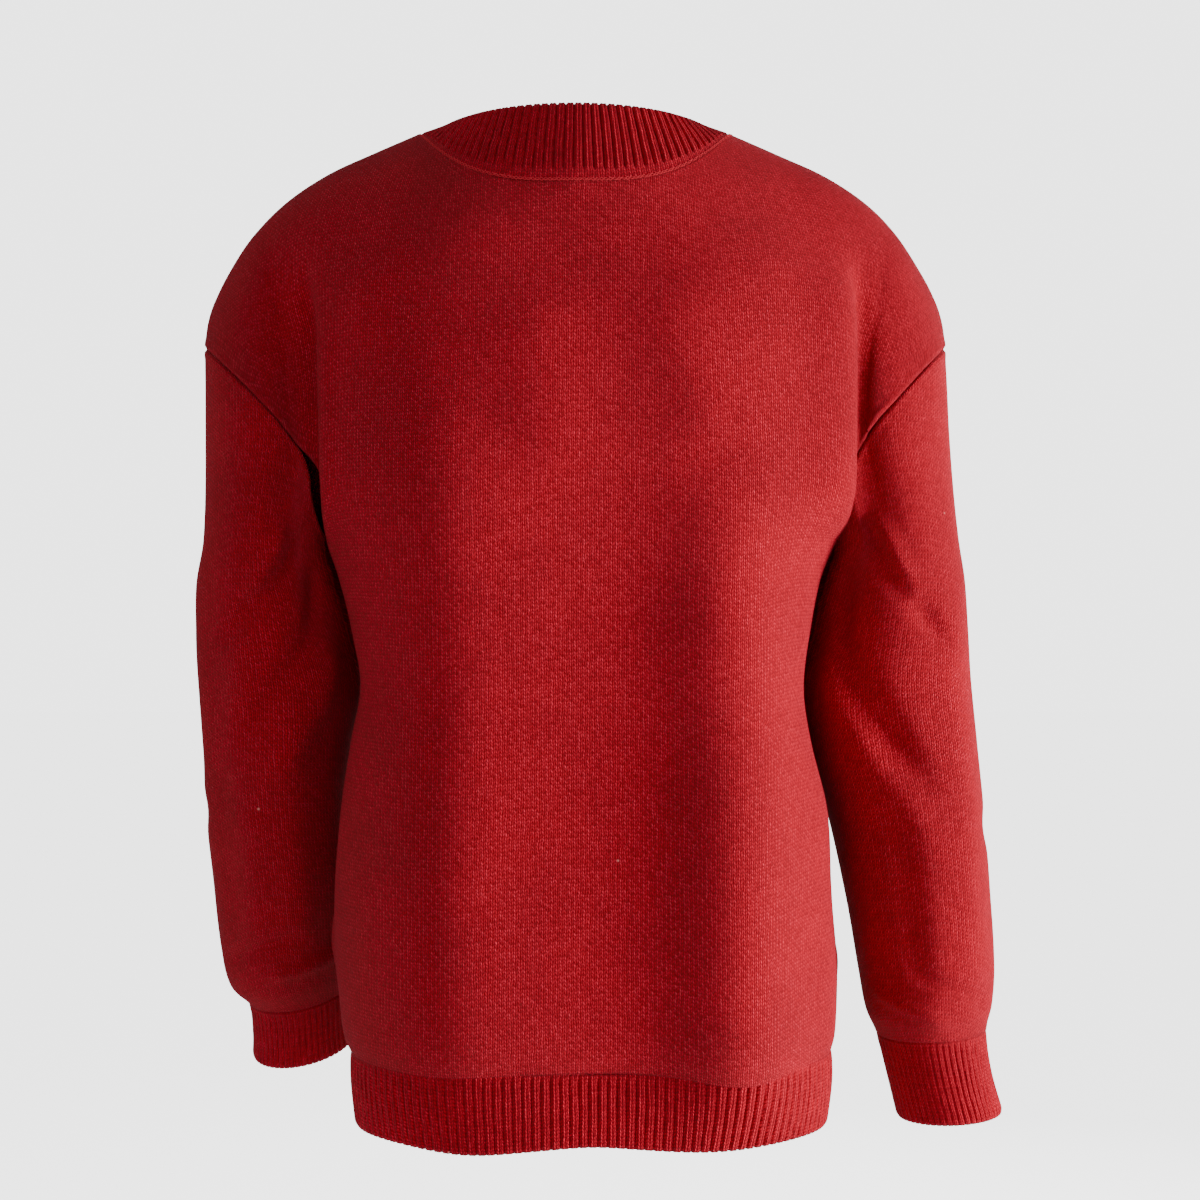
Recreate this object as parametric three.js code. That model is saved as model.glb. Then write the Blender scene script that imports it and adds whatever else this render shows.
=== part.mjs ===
// Button cardigan: round ribbed neckband, drop shoulders, long sleeves with
// ribbed cuffs, ribbed hem, buttoned front. It keeps the hollow form it has
// when worn. Millimetres, +Z up, the front faces -Y, the wearer's left is +X.
// The origin is the middle of the neck, level with the high points of the shoulders.
import * as THREE from 'three';

// ---------------------------------------------------------------- sizes
const WALL = 2.6; // thickness of the knit
const SEAM_GAP = 0.55; // room left between two pieces at a seam
const LAP_GAP = 0.35; // room under a piece that lies on another
const UNDERARM_Z = -262;
const TIP_Z = -138; // where the shoulder seam meets the sleeve
const NECK_HALF = 103; // half the width of the neck seam
const NECK_SEAM_Z = 2; // height of the neck seam at the shoulder
const NECK_BACK_Z = -41;
const NECK_FRONT_Z = -90;
const NECK_SLOPE = 0.45; // how the shoulder line would run on across the neck
const BODY_SQUARE = 2.4; // power of the rounded-box sections of the body
const ROLL_NECK = 105; // height over which the shoulder rolls over, at the neck
const ROLL_ARM = 60; // the same at the arm
const BAND_HALF = 16; // half the width of a button band
const BAND_LAP = 6; // how far the over band covers the right front
const BUTTON_COUNT = 7;
const BUTTON_RADIUS = 9;
const BUTTON_THICK = 2.2;
const BUTTON_BEVEL = 0.6;
const BUTTON_HOLE_RADIUS = 1;
const BUTTON_HOLE_OFFSET = 2.3;
const BUTTON_TOP_Z = -72;
const BUTTON_BOTTOM_Z = -620;

const BACK_HALF_COLUMNS = 15; // from the side seam to the middle of the back
const SHOULDER_COLUMNS = 8;
const FRONT_COLUMNS = 14;
const UPPER_ROWS = 10; // from the underarm to the shoulder seam
const NECKBAND_ROWS = 3;
const SLEEVE_ROWS = 14;
const CUFF_ROWS = 2;

const KNIT_RED = 0xb01722;
const BUTTON_RED = 0x7d0f18;

// Sections of the body under the arms: left and right reach from the middle,
// back and front depth.
const HEM_RIB = [
  { z: -645, left: 143.5, right: 165, back: 100, front: 111 },
  { z: -620, left: 146, right: 168, back: 102, front: 113 },
  { z: -598, left: 147, right: 168.5, back: 103, front: 114 },
];
const BODY = [
  { z: -598, left: 147, right: 168.5, back: 103, front: 114 },
  { z: -588, left: 151.5, right: 171, back: 108, front: 119 },
  { z: -562, left: 154, right: 171, back: 110, front: 122 },
  { z: -528, left: 156, right: 170, back: 110, front: 122 },
  { z: -488, left: 157, right: 168, back: 107, front: 120 },
  { z: -440, left: 153, right: 165, back: 103, front: 117 },
  { z: -396, left: 146, right: 152.5, back: 99.5, front: 114 },
  { z: -360, left: 139, right: 146, back: 99, front: 114 },
  { z: -322, left: 145.5, right: 152.5, back: 102, front: 118 },
  { z: -292, left: 153.5, right: 159.5, back: 106, front: 123 },
  { z: -262, left: 163, right: 170, back: 111, front: 128 },
];
// Sections of the trunk above the underarm, before the arms are added.
const TRUNK = [
  { z: -262, left: 163, right: 170, back: 111, front: 128 },
  { z: -245, left: 172.5, right: 180, back: 112, front: 130 },
  { z: -225, left: 179, right: 185, back: 113, front: 131 },
  { z: -200, left: 182, right: 187, back: 114, front: 131 },
  { z: -160, left: 184, right: 188, back: 113, front: 126 },
  { z: -120, left: 188, right: 192, back: 108, front: 117 },
  { z: -80, left: 197, right: 199, back: 98, front: 104 },
  { z: -40, left: 216, right: 216, back: 88, front: 88 },
  { z: 0, left: 236, right: 236, back: 80, front: 72 },
  { z: 60, left: 246, right: 246, back: 76, front: 62 },
];
// The shoulder line, from the neck to the tip of the drop shoulder.
const SHOULDER = [
  { out: 103, z: 2 },
  { out: 133, z: -10.5 },
  { out: 163, z: -24 },
  { out: 190, z: -42 },
  { out: 210, z: -62 },
  { out: 226, z: -86 },
  { out: 236, z: -105 },
  { out: 241.5, z: -121 },
  { out: 244, z: -138 },
];
// The armhole seams: reach from the middle against rise from underarm to tip.
const ARMHOLE = [
  { rise: 0, left: 163, right: 170 },
  { rise: 0.15, left: 167, right: 174 },
  { rise: 0.28, left: 169, right: 176 },
  { rise: 0.4, left: 173.5, right: 180 },
  { rise: 0.5, left: 181, right: 186.5 },
  { rise: 0.6, left: 190, right: 195 },
  { rise: 0.7, left: 202, right: 206 },
  { rise: 0.8, left: 215, right: 217.5 },
  { rise: 0.9, left: 229, right: 230 },
  { rise: 1, left: 244, right: 244 },
];
// Sections of the sleeves: centre outward and backward, half width, half depth,
// and how far the front half of the ring leans in towards the body.
const SLEEVE_LEFT = [
  { z: -60, out: 196, back: 0, wide: 46, deep: 46, lean: 0 },
  { z: -138, out: 201, back: 0, wide: 43, deep: 50, lean: 0 },
  { z: -200, out: 202, back: 0, wide: 41, deep: 53, lean: 0 },
  { z: -262, out: 205.5, back: -6, wide: 39, deep: 53, lean: 4 },
  { z: -292, out: 203, back: -13, wide: 47, deep: 52, lean: 8 },
  { z: -322, out: 200, back: -20, wide: 52.5, deep: 51, lean: 9 },
  { z: -360, out: 197, back: -30, wide: 55.5, deep: 51, lean: 9 },
  { z: -400, out: 200, back: -41, wide: 51.5, deep: 50, lean: 7 },
  { z: -440, out: 202, back: -51, wide: 48.5, deep: 48, lean: 4 },
  { z: -488, out: 200.5, back: -66, wide: 47.5, deep: 46, lean: 2 },
  { z: -535, out: 200, back: -82, wide: 45.5, deep: 44, lean: 0 },
  { z: -560, out: 198, back: -91, wide: 43, deep: 42, lean: 0 },
  { z: -575, out: 193, back: -97, wide: 36.5, deep: 36, lean: 0 },
  { z: -600, out: 192, back: -105, wide: 35, deep: 35, lean: 0 },
  { z: -622, out: 192, back: -112, wide: 36.5, deep: 36, lean: 0 },
];
const SLEEVE_RIGHT = [
  { z: -60, out: 196, back: 0, wide: 46, deep: 46, lean: 0 },
  { z: -138, out: 201, back: 0, wide: 43, deep: 50, lean: 0 },
  { z: -200, out: 205, back: 0, wide: 42, deep: 53, lean: 0 },
  { z: -262, out: 213, back: -5, wide: 39, deep: 53, lean: 4 },
  { z: -292, out: 210, back: -13, wide: 47, deep: 52, lean: 8 },
  { z: -322, out: 207.5, back: -20, wide: 52.5, deep: 53, lean: 9 },
  { z: -360, out: 205.5, back: -26, wide: 57.5, deep: 53, lean: 9 },
  { z: -400, out: 211.5, back: -27, wide: 55.5, deep: 52, lean: 9 },
  { z: -440, out: 220, back: -27, wide: 51.5, deep: 50, lean: 7 },
  { z: -500, out: 229, back: -26, wide: 47.5, deep: 48, lean: 4 },
  { z: -550, out: 235, back: -26, wide: 45, deep: 46, lean: 2 },
  { z: -575, out: 236.5, back: -25, wide: 42, deep: 43, lean: 0 },
  { z: -592, out: 238.5, back: -26, wide: 36.5, deep: 37, lean: 0 },
  { z: -620, out: 244, back: -27, wide: 34.5, deep: 35, lean: 0 },
  { z: -648, out: 251.5, back: -29, wide: 35, deep: 35, lean: 0 },
];
// Where each sleeve ends and how far its rings tip outward and forward.
const SLEEVES = {
  left: { side: 1, form: SLEEVE_LEFT, cuffZ: -575, endZ: -616, tipOut: -0.16, tipFront: 0.3 },
  right: { side: -1, form: SLEEVE_RIGHT, cuffZ: -592, endZ: -648, tipOut: 0.06, tipFront: 0.05 },
};
// The fronts swell past the side seams above the hem rib.
const SIDE_SWELLS = [
  { side: 1, z: -532, tall: 34, turn: 0.2, around: 0.17, out: 10 },
  { side: -1, z: -545, tall: 28, turn: 0.2, around: 0.17, out: 8 },
];
// The neckband's top edge: half width, back and front depth, heights.
const NECK_TOP = { half: 83, back: 62, front: 80, sideZ: 6, backZ: 13, frontZ: -54 };
const NECKBAND_BELLY = 0.5;

// ---------------------------------------------------------------- helpers
const mix = (a, b, t) => a + (b - a) * t;
const clamp = (t, low, high) => Math.min(high, Math.max(low, t));
const ease = (t) => t * t * (3 - 2 * t);
const bell = (t) => Math.exp(-t * t);
const vec = (x, y, z) => new THREE.Vector3(x, y, z);

/** Smooth curve through a table: the value of `column` where `key` equals `at`. */
function along(table, key, at, column) {
  const turned = table[0][key] > table[table.length - 1][key];
  const rows = turned ? [...table].reverse() : table;
  const last = rows.length - 1;
  const t = clamp(at, rows[0][key], rows[last][key]);
  let i = 0;
  while (i < last - 1 && rows[i + 1][key] < t) i += 1;
  const slope = (k) => {
    const a = rows[Math.max(k - 1, 0)];
    const b = rows[Math.min(k + 1, last)];
    return (b[column] - a[column]) / (b[key] - a[key]);
  };
  const span = rows[i + 1][key] - rows[i][key];
  const s = (t - rows[i][key]) / span;
  const s2 = s * s;
  const s3 = s2 * s;
  return (2 * s3 - 3 * s2 + 1) * rows[i][column]
    + (s3 - 2 * s2 + s) * span * slope(i)
    + (3 * s2 - 2 * s3) * rows[i + 1][column]
    + (s3 - s2) * span * slope(i + 1);
}

const signedPower = (value, power) => Math.sign(value) * Math.abs(value) ** power;

// ---------------------------------------------------------------- the worn form
/** Point of the trunk below the arms. The turn is 0 at the left side seam, a quarter
 *  turn at the middle of the back, half a turn at the right side seam. */
function trunkPoint(turn, row) {
  const power = 2 / BODY_SQUARE;
  const c = Math.cos(turn);
  const s = Math.sin(turn);
  let x = (c > 0 ? row.left : row.right) * signedPower(c, power);
  const y = (s > 0 ? row.back : row.front) * signedPower(s, power);
  for (const swell of SIDE_SWELLS) {
    const middle = swell.side > 0 ? -swell.turn : Math.PI + swell.turn;
    let away = turn - middle;
    if (away > Math.PI) away -= 2 * Math.PI;
    x += swell.side * swell.out * bell(away / swell.around) * bell((row.z - swell.z) / swell.tall);
  }
  return vec(x, y, row.z);
}

/** Height of the shoulder line over the distance out from the middle. */
function shoulderHeight(out) {
  if (out < NECK_HALF) return NECK_SEAM_Z + NECK_SLOPE * (NECK_HALF - out);
  return along(SHOULDER, 'out', out, 'z');
}

/** Depth of the worn form above the underarm: the trunk and the upper arm
 *  melt together, then both roll over the shoulder line. */
function upperDepth(side, face, out, z) {
  const sideName = side > 0 ? 'left' : 'right';
  const faceName = face > 0 ? 'back' : 'front';
  const reach = along(TRUNK, 'z', z, sideName);
  const depth = along(TRUNK, 'z', z, faceName);
  const across = Math.min(1, out / reach);
  const trunk = depth * Math.max(0, 1 - across ** BODY_SQUARE) ** (1 / BODY_SQUARE);
  const form = SLEEVES[sideName].form;
  const centre = along(form, 'z', z, 'out');
  const wide = along(form, 'z', z, 'wide');
  const shift = face * along(form, 'z', z, 'back');
  const off = clamp((out - centre) / wide, -1, 1);
  const arm = shift + along(form, 'z', z, 'deep') * Math.sqrt(1 - off * off);
  const rise = clamp((z - UNDERARM_Z) / 30, 0, 1);
  const soft = 20 * rise;
  const melted = (trunk + arm + Math.hypot(trunk - arm, soft)) / 2;
  const joined = rise > 0 ? mix(trunk, melted, ease(rise)) : trunk;
  const roll = mix(ROLL_NECK, ROLL_ARM, ease(clamp((out - 130) / 80, 0, 1)));
  const under = clamp((shoulderHeight(out) - z) / roll, 0, 1);
  return face * joined * Math.sqrt(1 - (1 - under) ** 2);
}

/** Share of the way from the button bands, where the neck runs level, to its side. */
function pastBands(out, half) {
  const level = BAND_HALF + BAND_LAP + 4;
  return clamp((out - level) / (half - level), 0, 1);
}

/** The neck seam: x and z at a place between the shoulder (0) and the middle (1). */
function neckSeam(face, place, middle) {
  const end = Math.acos(middle / NECK_HALF);
  const out = NECK_HALF * Math.cos(end * place);
  const low = face > 0 ? NECK_BACK_Z : NECK_FRONT_Z;
  const share = face > 0 ? (out / NECK_HALF) ** 3.2 : pastBands(out, NECK_HALF) ** 1.9;
  return { out, z: mix(low, NECK_SEAM_Z, share) };
}

/** The top edge of a panel's column: along the shoulder, then round the neck. */
function topEdge(face, column, columns, middle) {
  if (column <= SHOULDER_COLUMNS) {
    return SHOULDER[SHOULDER.length - 1 - column];
  }
  const place = (column - SHOULDER_COLUMNS) / (columns - SHOULDER_COLUMNS);
  return neckSeam(face, place, middle);
}

/** One half panel: rows from the rib seam to the shoulder, columns from the side
 *  seam to the middle of the back or to the edge of the front. */
function halfPanel(side, face, columns, middle) {
  const sideName = side > 0 ? 'left' : 'right';
  const rows = [];
  const quarter = (column, row) => {
    const reach = row[sideName];
    const end = Math.acos((middle / reach) ** (BODY_SQUARE / 2));
    const turn = (end * column) / columns;
    return side > 0 ? face * turn : Math.PI - face * turn;
  };
  for (const row of BODY) {
    const line = [];
    for (let i = 0; i <= columns; i += 1) line.push(trunkPoint(quarter(i, row), row));
    rows.push(line);
  }
  const base = rows[rows.length - 1];
  for (let j = 1; j <= UPPER_ROWS; j += 1) {
    const rise = Math.sin((Math.PI / 2) * (j / UPPER_ROWS));
    const edge = along(ARMHOLE, 'rise', rise, sideName);
    const line = [];
    for (let i = 0; i <= columns; i += 1) {
      const top = topEdge(face, i, columns, middle);
      const low = Math.abs(base[i].x) / Math.abs(base[0].x);
      const high = top.out / SHOULDER[SHOULDER.length - 1].out;
      const atMiddle = i === columns;
      const out = atMiddle ? middle : edge * mix(low, high, rise);
      const z = mix(UNDERARM_Z, top.z, rise);
      line.push(vec(side * out, upperDepth(side, face, out, z), z));
    }
    rows.push(line);
  }
  return rows;
}

/** A rib band below a half panel, on the same columns. */
function halfRib(side, face, columns, middle) {
  const sideName = side > 0 ? 'left' : 'right';
  return HEM_RIB.map((row) => {
    const line = [];
    for (let i = 0; i <= columns; i += 1) {
      const end = Math.acos((middle / row[sideName]) ** (BODY_SQUARE / 2));
      const turn = (end * i) / columns;
      line.push(trunkPoint(side > 0 ? face * turn : Math.PI - face * turn, row));
    }
    return line;
  });
}

/** Two halves of the back make one grid, from the left side seam to the right. */
const wholeBack = (leftHalf, rightHalf) => leftHalf.map((line, j) => {
  const other = [...rightHalf[j]].reverse().slice(1);
  return [...line, ...other];
});

/** A sleeve: its first ring is the armhole seam, its last the cuff seam. */
function sleeveGrids(spec, backHalf, frontHalf) {
  const first = BODY.length - 1;
  const ring = [];
  for (let j = UPPER_ROWS; j >= 0; j -= 1) ring.push(backHalf[first + j][0]);
  for (let j = 1; j < UPPER_ROWS; j += 1) ring.push(frontHalf[first + j][0]);
  const count = ring.length;
  const place = (turn, z) => {
    const out = along(spec.form, 'z', z, 'out') + along(spec.form, 'z', z, 'wide') * Math.cos(turn)
      + along(spec.form, 'z', z, 'lean') * Math.sin(turn);
    const y = along(spec.form, 'z', z, 'back') + along(spec.form, 'z', z, 'deep') * Math.sin(turn);
    return vec(spec.side * out, y, z);
  };
  const seamTurns = ring.map((seam) => {
    const across = spec.side * seam.x - along(spec.form, 'z', seam.z, 'out');
    const back = seam.y - along(spec.form, 'z', seam.z, 'back');
    const wide = along(spec.form, 'z', seam.z, 'wide');
    const deep = along(spec.form, 'z', seam.z, 'deep');
    const turn = Math.atan2(back / deep, across / wide);
    return turn < -1e-6 ? turn + 2 * Math.PI : turn;
  });
  const tipped = (point, turn, share) => {
    const wide = along(spec.form, 'z', point.z, 'wide');
    const lift = spec.tipOut * Math.cos(turn) - spec.tipFront * Math.sin(turn);
    return vec(point.x, point.y, point.z + share * wide * lift);
  };
  const sleeve = [];
  for (let j = 0; j <= SLEEVE_ROWS; j += 1) {
    const down = j < SLEEVE_ROWS - 1
      ? (0.965 * j) / (SLEEVE_ROWS - 2)
      : mix(0.965, 1, (j - SLEEVE_ROWS + 2) / 2);
    const hold = (1 - clamp(down / 0.28, 0, 1)) ** 2;
    sleeve.push(ring.map((seam, k) => {
      const turn = mix(seamTurns[k], (2 * Math.PI * k) / count, ease(clamp(down * 1.6, 0, 1)));
      const point = place(turn, mix(seam.z, spec.cuffZ, down));
      const pull = seam.clone().sub(place(seamTurns[k], seam.z)).multiplyScalar(hold);
      return tipped(point.add(pull), turn, ease(clamp(down, 0, 1)));
    }));
  }
  const cuff = [];
  for (let j = 0; j <= CUFF_ROWS; j += 1) {
    const z = mix(spec.cuffZ, spec.endZ, j / CUFF_ROWS);
    cuff.push(ring.map((seam, k) => {
      const turn = (2 * Math.PI * k) / count;
      return tipped(place(turn, z), turn, 1);
    }));
  }
  return { sleeve, cuff };
}

/** The neckband rises from the neck seam to its top edge, with a slight belly. */
function neckbandGrid(backGrid, leftGrid, rightGrid) {
  const top = (grid) => grid[grid.length - 1];
  const lower = [];
  const upper = [];
  const neckColumns = FRONT_COLUMNS - SHOULDER_COLUMNS;
  const end = Math.acos((BAND_HALF + SEAM_GAP / 2) / NECK_TOP.half);
  const topPoint = (side, face, turn) => {
    const out = NECK_TOP.half * Math.cos(turn);
    if (face > 0) {
      const s = Math.sin(turn);
      return vec(side * out, NECK_TOP.back * s, mix(NECK_TOP.sideZ, NECK_TOP.backZ, s));
    }
    const past = pastBands(out, NECK_TOP.half);
    const y = -NECK_TOP.front * Math.sqrt(1 - past * past);
    return vec(side * out, y, mix(NECK_TOP.frontZ, NECK_TOP.sideZ, past ** 1.7));
  };
  for (let k = neckColumns; k >= 1; k -= 1) {
    lower.push(top(leftGrid)[SHOULDER_COLUMNS + k]);
    upper.push(topPoint(1, -1, (end * k) / neckColumns));
  }
  const backNeck = 2 * (BACK_HALF_COLUMNS - SHOULDER_COLUMNS);
  for (let k = 0; k <= backNeck; k += 1) {
    lower.push(top(backGrid)[SHOULDER_COLUMNS + k]);
    upper.push(topPoint(1, 1, (Math.PI * k) / backNeck));
  }
  for (let k = 1; k <= neckColumns; k += 1) {
    lower.push(top(rightGrid)[SHOULDER_COLUMNS + k]);
    upper.push(topPoint(-1, -1, (end * k) / neckColumns));
  }
  const rows = [];
  for (let j = 0; j <= NECKBAND_ROWS; j += 1) {
    const t = j / NECKBAND_ROWS;
    rows.push(lower.map((low, i) => {
      const point = low.clone().lerp(upper[i], t);
      const away = vec(upper[i].x, upper[i].y, 0).normalize();
      const belly = NECKBAND_BELLY * Math.sin(Math.PI * t);
      return point.addScaledVector(away, belly * 0.6).add(vec(0, 0, belly * 0.8));
    }));
  }
  return rows;
}

// ---------------------------------------------------------------- walls
/** A grid becomes a sheet with normals; a closed one runs round a tube. */
function sheet(grid, closed = false) {
  const rows = grid.length;
  const columns = grid[0].length;
  const normals = grid.map((line, j) => line.map((_, i) => {
    const before = closed ? (i + columns - 1) % columns : Math.max(i - 1, 0);
    const after = closed ? (i + 1) % columns : Math.min(i + 1, columns - 1);
    const across = grid[j][after].clone().sub(grid[j][before]);
    const up = grid[Math.min(j + 1, rows - 1)][i].clone().sub(grid[Math.max(j - 1, 0)][i]);
    return across.cross(up).normalize();
  }));
  return { grid, normals, closed, rows, columns };
}

/** Turns every normal away from the middle of the piece it belongs to. */
function facing(piece, sign) {
  piece.normals.forEach((line) => line.forEach((normal) => normal.multiplyScalar(sign)));
  return piece;
}

/** Points that several sheets share at a seam get one common normal. */
function shareNormals(pieces) {
  const groups = new Map();
  const name = (p) => [p.x, p.y, p.z].map((value) => Math.round(value * 50)).join(' ');
  const visit = (piece, action) => {
    piece.grid.forEach((line, j) => line.forEach((point, i) => {
      const rim = j === 0 || j === piece.rows - 1
        || (!piece.closed && (i === 0 || i === piece.columns - 1));
      if (rim) action(name(point), piece.normals[j][i]);
    }));
  };
  pieces.forEach((piece) => visit(piece, (key, normal) => {
    if (!groups.has(key)) groups.set(key, []);
    const known = groups.get(key);
    if (!known.some((other) => other.dot(normal) > 0.9999)) known.push(normal.clone());
  }));
  pieces.forEach((piece) => visit(piece, (key, normal) => {
    const sum = groups.get(key).reduce((total, other) => total.add(other), vec(0, 0, 0));
    if (sum.length() > 0.1) normal.copy(sum).normalize();
  }));
}

/** Draws a sheet's rim back into the sheet by half a seam gap. */
function drawIn(piece) {
  const { grid, normals, closed, rows, columns } = piece;
  const half = SEAM_GAP / 2;
  const moved = grid.map((line) => line.map((point) => point.clone()));
  const step = (j, i, j2, i2, along1, along2) => {
    const tangent = along2.clone().sub(along1).normalize();
    const inward = grid[j2][i2].clone().sub(grid[j][i]);
    inward.addScaledVector(tangent, -inward.dot(tangent));
    inward.addScaledVector(normals[j][i], -inward.dot(normals[j][i]));
    moved[j][i].addScaledVector(inward.normalize(), half);
  };
  for (let i = 0; i < columns; i += 1) {
    const before = closed ? (i + columns - 1) % columns : Math.max(i - 1, 0);
    const after = closed ? (i + 1) % columns : Math.min(i + 1, columns - 1);
    step(0, i, 1, i, grid[0][before], grid[0][after]);
    step(rows - 1, i, rows - 2, i, grid[rows - 1][before], grid[rows - 1][after]);
  }
  if (!closed) {
    for (let j = 0; j < rows; j += 1) {
      const below = Math.max(j - 1, 0);
      const above = Math.min(j + 1, rows - 1);
      step(j, 0, j, 1, grid[below][0], grid[above][0]);
      const last = columns - 1;
      step(j, last, j, last - 1, grid[below][last], grid[above][last]);
    }
  }
  piece.grid = moved;
  return piece;
}

/** A closed wall: the sheet outside, the same sheet one thickness in, and the rims. */
function wallGeometry(piece, outset = 0) {
  const { grid, normals, closed, rows, columns } = piece;
  const positions = [];
  const layer = (shift) => grid.forEach((line, j) => line.forEach((point, i) => {
    const p = point.clone().addScaledVector(normals[j][i], shift);
    positions.push(p.x, p.y, p.z);
  }));
  layer(outset);
  layer(outset - WALL);
  const inner = rows * columns;
  const at = (j, i) => j * columns + (i % columns);
  const index = [];
  const quad = (a, b, c, d) => index.push(a, b, c, a, c, d);
  const cells = closed ? columns : columns - 1;
  for (let j = 0; j < rows - 1; j += 1) {
    for (let i = 0; i < cells; i += 1) {
      quad(at(j, i), at(j, i + 1), at(j + 1, i + 1), at(j + 1, i));
      quad(inner + at(j, i), inner + at(j + 1, i), inner + at(j + 1, i + 1), inner + at(j, i + 1));
    }
  }
  for (let i = 0; i < cells; i += 1) {
    quad(at(0, i), inner + at(0, i), inner + at(0, i + 1), at(0, i + 1));
    const top = rows - 1;
    quad(at(top, i), at(top, i + 1), inner + at(top, i + 1), inner + at(top, i));
  }
  if (!closed) {
    for (let j = 0; j < rows - 1; j += 1) {
      const end = columns - 1;
      quad(at(j, 0), at(j + 1, 0), inner + at(j + 1, 0), inner + at(j, 0));
      quad(at(j, end), inner + at(j, end), inner + at(j + 1, end), at(j + 1, end));
    }
  }
  const geometry = new THREE.BufferGeometry();
  geometry.setAttribute('position', new THREE.Float32BufferAttribute(positions, 3));
  geometry.setIndex(outward(positions, index));
  geometry.computeVertexNormals();
  return geometry;
}

/** Turns the triangles round where they enclose a negative volume. */
function outward(positions, index) {
  const corner = (k) => vec(positions[3 * k], positions[3 * k + 1], positions[3 * k + 2]);
  let volume = 0;
  for (let t = 0; t < index.length; t += 3) {
    volume += corner(index[t]).dot(corner(index[t + 1]).cross(corner(index[t + 2])));
  }
  if (volume > 0) return index;
  const turned = [];
  for (let t = 0; t < index.length; t += 3) turned.push(index[t], index[t + 2], index[t + 1]);
  return turned;
}

// ---------------------------------------------------------------- build
const edge = BAND_HALF + SEAM_GAP / 2;
const halves = {
  backLeft: halfPanel(1, 1, BACK_HALF_COLUMNS, 0),
  backRight: halfPanel(-1, 1, BACK_HALF_COLUMNS, 0),
  frontLeft: halfPanel(1, -1, FRONT_COLUMNS, edge),
  frontRight: halfPanel(-1, -1, FRONT_COLUMNS, edge),
};
const backGrid = wholeBack(halves.backLeft, halves.backRight);
const left = sleeveGrids(SLEEVES.left, halves.backLeft, halves.frontLeft);
const right = sleeveGrids(SLEEVES.right, halves.backRight, halves.frontRight);
const ribBack = wholeBack(
  halfRib(1, 1, BACK_HALF_COLUMNS, 0),
  halfRib(-1, 1, BACK_HALF_COLUMNS, 0),
);
const ribLeft = halfRib(1, -1, FRONT_COLUMNS, edge);
const ribRight = halfRib(-1, -1, FRONT_COLUMNS, edge);
const neckGrid = neckbandGrid(backGrid, halves.frontLeft, halves.frontRight);

// Each sign makes the normals of that grid point out of the garment.
const sheets = {
  back: facing(sheet(backGrid), 1),
  hem_rib_back: facing(sheet(ribBack), 1),
  front_left: facing(sheet(halves.frontLeft), -1),
  front_right: facing(sheet(halves.frontRight), 1),
  hem_rib_front_left: facing(sheet(ribLeft), -1),
  hem_rib_front_right: facing(sheet(ribRight), 1),
  sleeve_left: facing(sheet(left.sleeve, true), -1),
  cuff_left: facing(sheet(left.cuff, true), -1),
  sleeve_right: facing(sheet(right.sleeve, true), 1),
  cuff_right: facing(sheet(right.cuff, true), 1),
  neckband: facing(sheet(neckGrid), 1),
};

/** The line both button bands follow: up the hem rib, the front and the neckband. */
function frontLine() {
  const last = (grid) => grid.map((line) => line[line.length - 1]);
  const neckEnd = neckGrid.map((line) => line[0]);
  const line = [
    ...last(ribLeft).slice(0, -1),
    ...last(halves.frontLeft).slice(0, -1),
    ...neckEnd,
  ];
  return line;
}

/** A band is the front line carried across, from one reach to another. */
function bandGrid(from, to) {
  const line = frontLine();
  const reaches = [from, (from + to) / 2, to];
  return line.map((point) => reaches.map((x) => vec(x, point.y, point.z)));
}

sheets.button_band_left = facing(sheet(bandGrid(BAND_HALF, -BAND_HALF)), -1);
sheets.button_band_right = facing(sheet(bandGrid(BAND_HALF, -BAND_HALF - BAND_LAP)), -1);

// The panels agree among themselves first, then with the sleeves and the neckband.
const sewn = Object.keys(sheets).filter((name) => !name.startsWith('button_band'));
const panels = sewn.filter((name) => /^(back|front|hem)/.test(name));
shareNormals(panels.map((name) => sheets[name]));
shareNormals(sewn.map((name) => sheets[name]));
Object.values(sheets).forEach(drawIn);

const outsets = { button_band_right: WALL + LAP_GAP };
const part = new THREE.Group();
part.name = 'button_cardigan';
for (const [name, piece] of Object.entries(sheets)) {
  const material = new THREE.MeshStandardMaterial({ color: KNIT_RED, roughness: 0.9, metalness: 0 });
  const mesh = new THREE.Mesh(wallGeometry(piece, outsets[name] ?? 0), material);
  mesh.name = name;
  part.add(mesh);
}

/** A flat round button with four holes and a softened rim. */
function buttonGeometry() {
  const disc = new THREE.Shape();
  disc.absarc(0, 0, BUTTON_RADIUS - BUTTON_BEVEL, 0, 2 * Math.PI, false);
  for (let k = 0; k < 4; k += 1) {
    const turn = (Math.PI / 2) * (k + 0.5);
    const hole = new THREE.Path();
    const x = BUTTON_HOLE_OFFSET * Math.cos(turn);
    const y = BUTTON_HOLE_OFFSET * Math.sin(turn);
    hole.absarc(x, y, BUTTON_HOLE_RADIUS + BUTTON_BEVEL, 0, 2 * Math.PI, true);
    disc.holes.push(hole);
  }
  const options = {
    depth: BUTTON_THICK,
    bevelEnabled: true,
    bevelThickness: BUTTON_BEVEL,
    bevelSize: BUTTON_BEVEL,
    bevelSegments: 1,
    curveSegments: 8,
  };
  return new THREE.ExtrudeGeometry(disc, options);
}

/** The place on the front line at a height. */
function onFrontLine(line, z) {
  let j = 0;
  while (j < line.length - 2 && line[j + 1].z < z) j += 1;
  return line[j].clone().lerp(line[j + 1], (z - line[j].z) / (line[j + 1].z - line[j].z));
}

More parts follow.
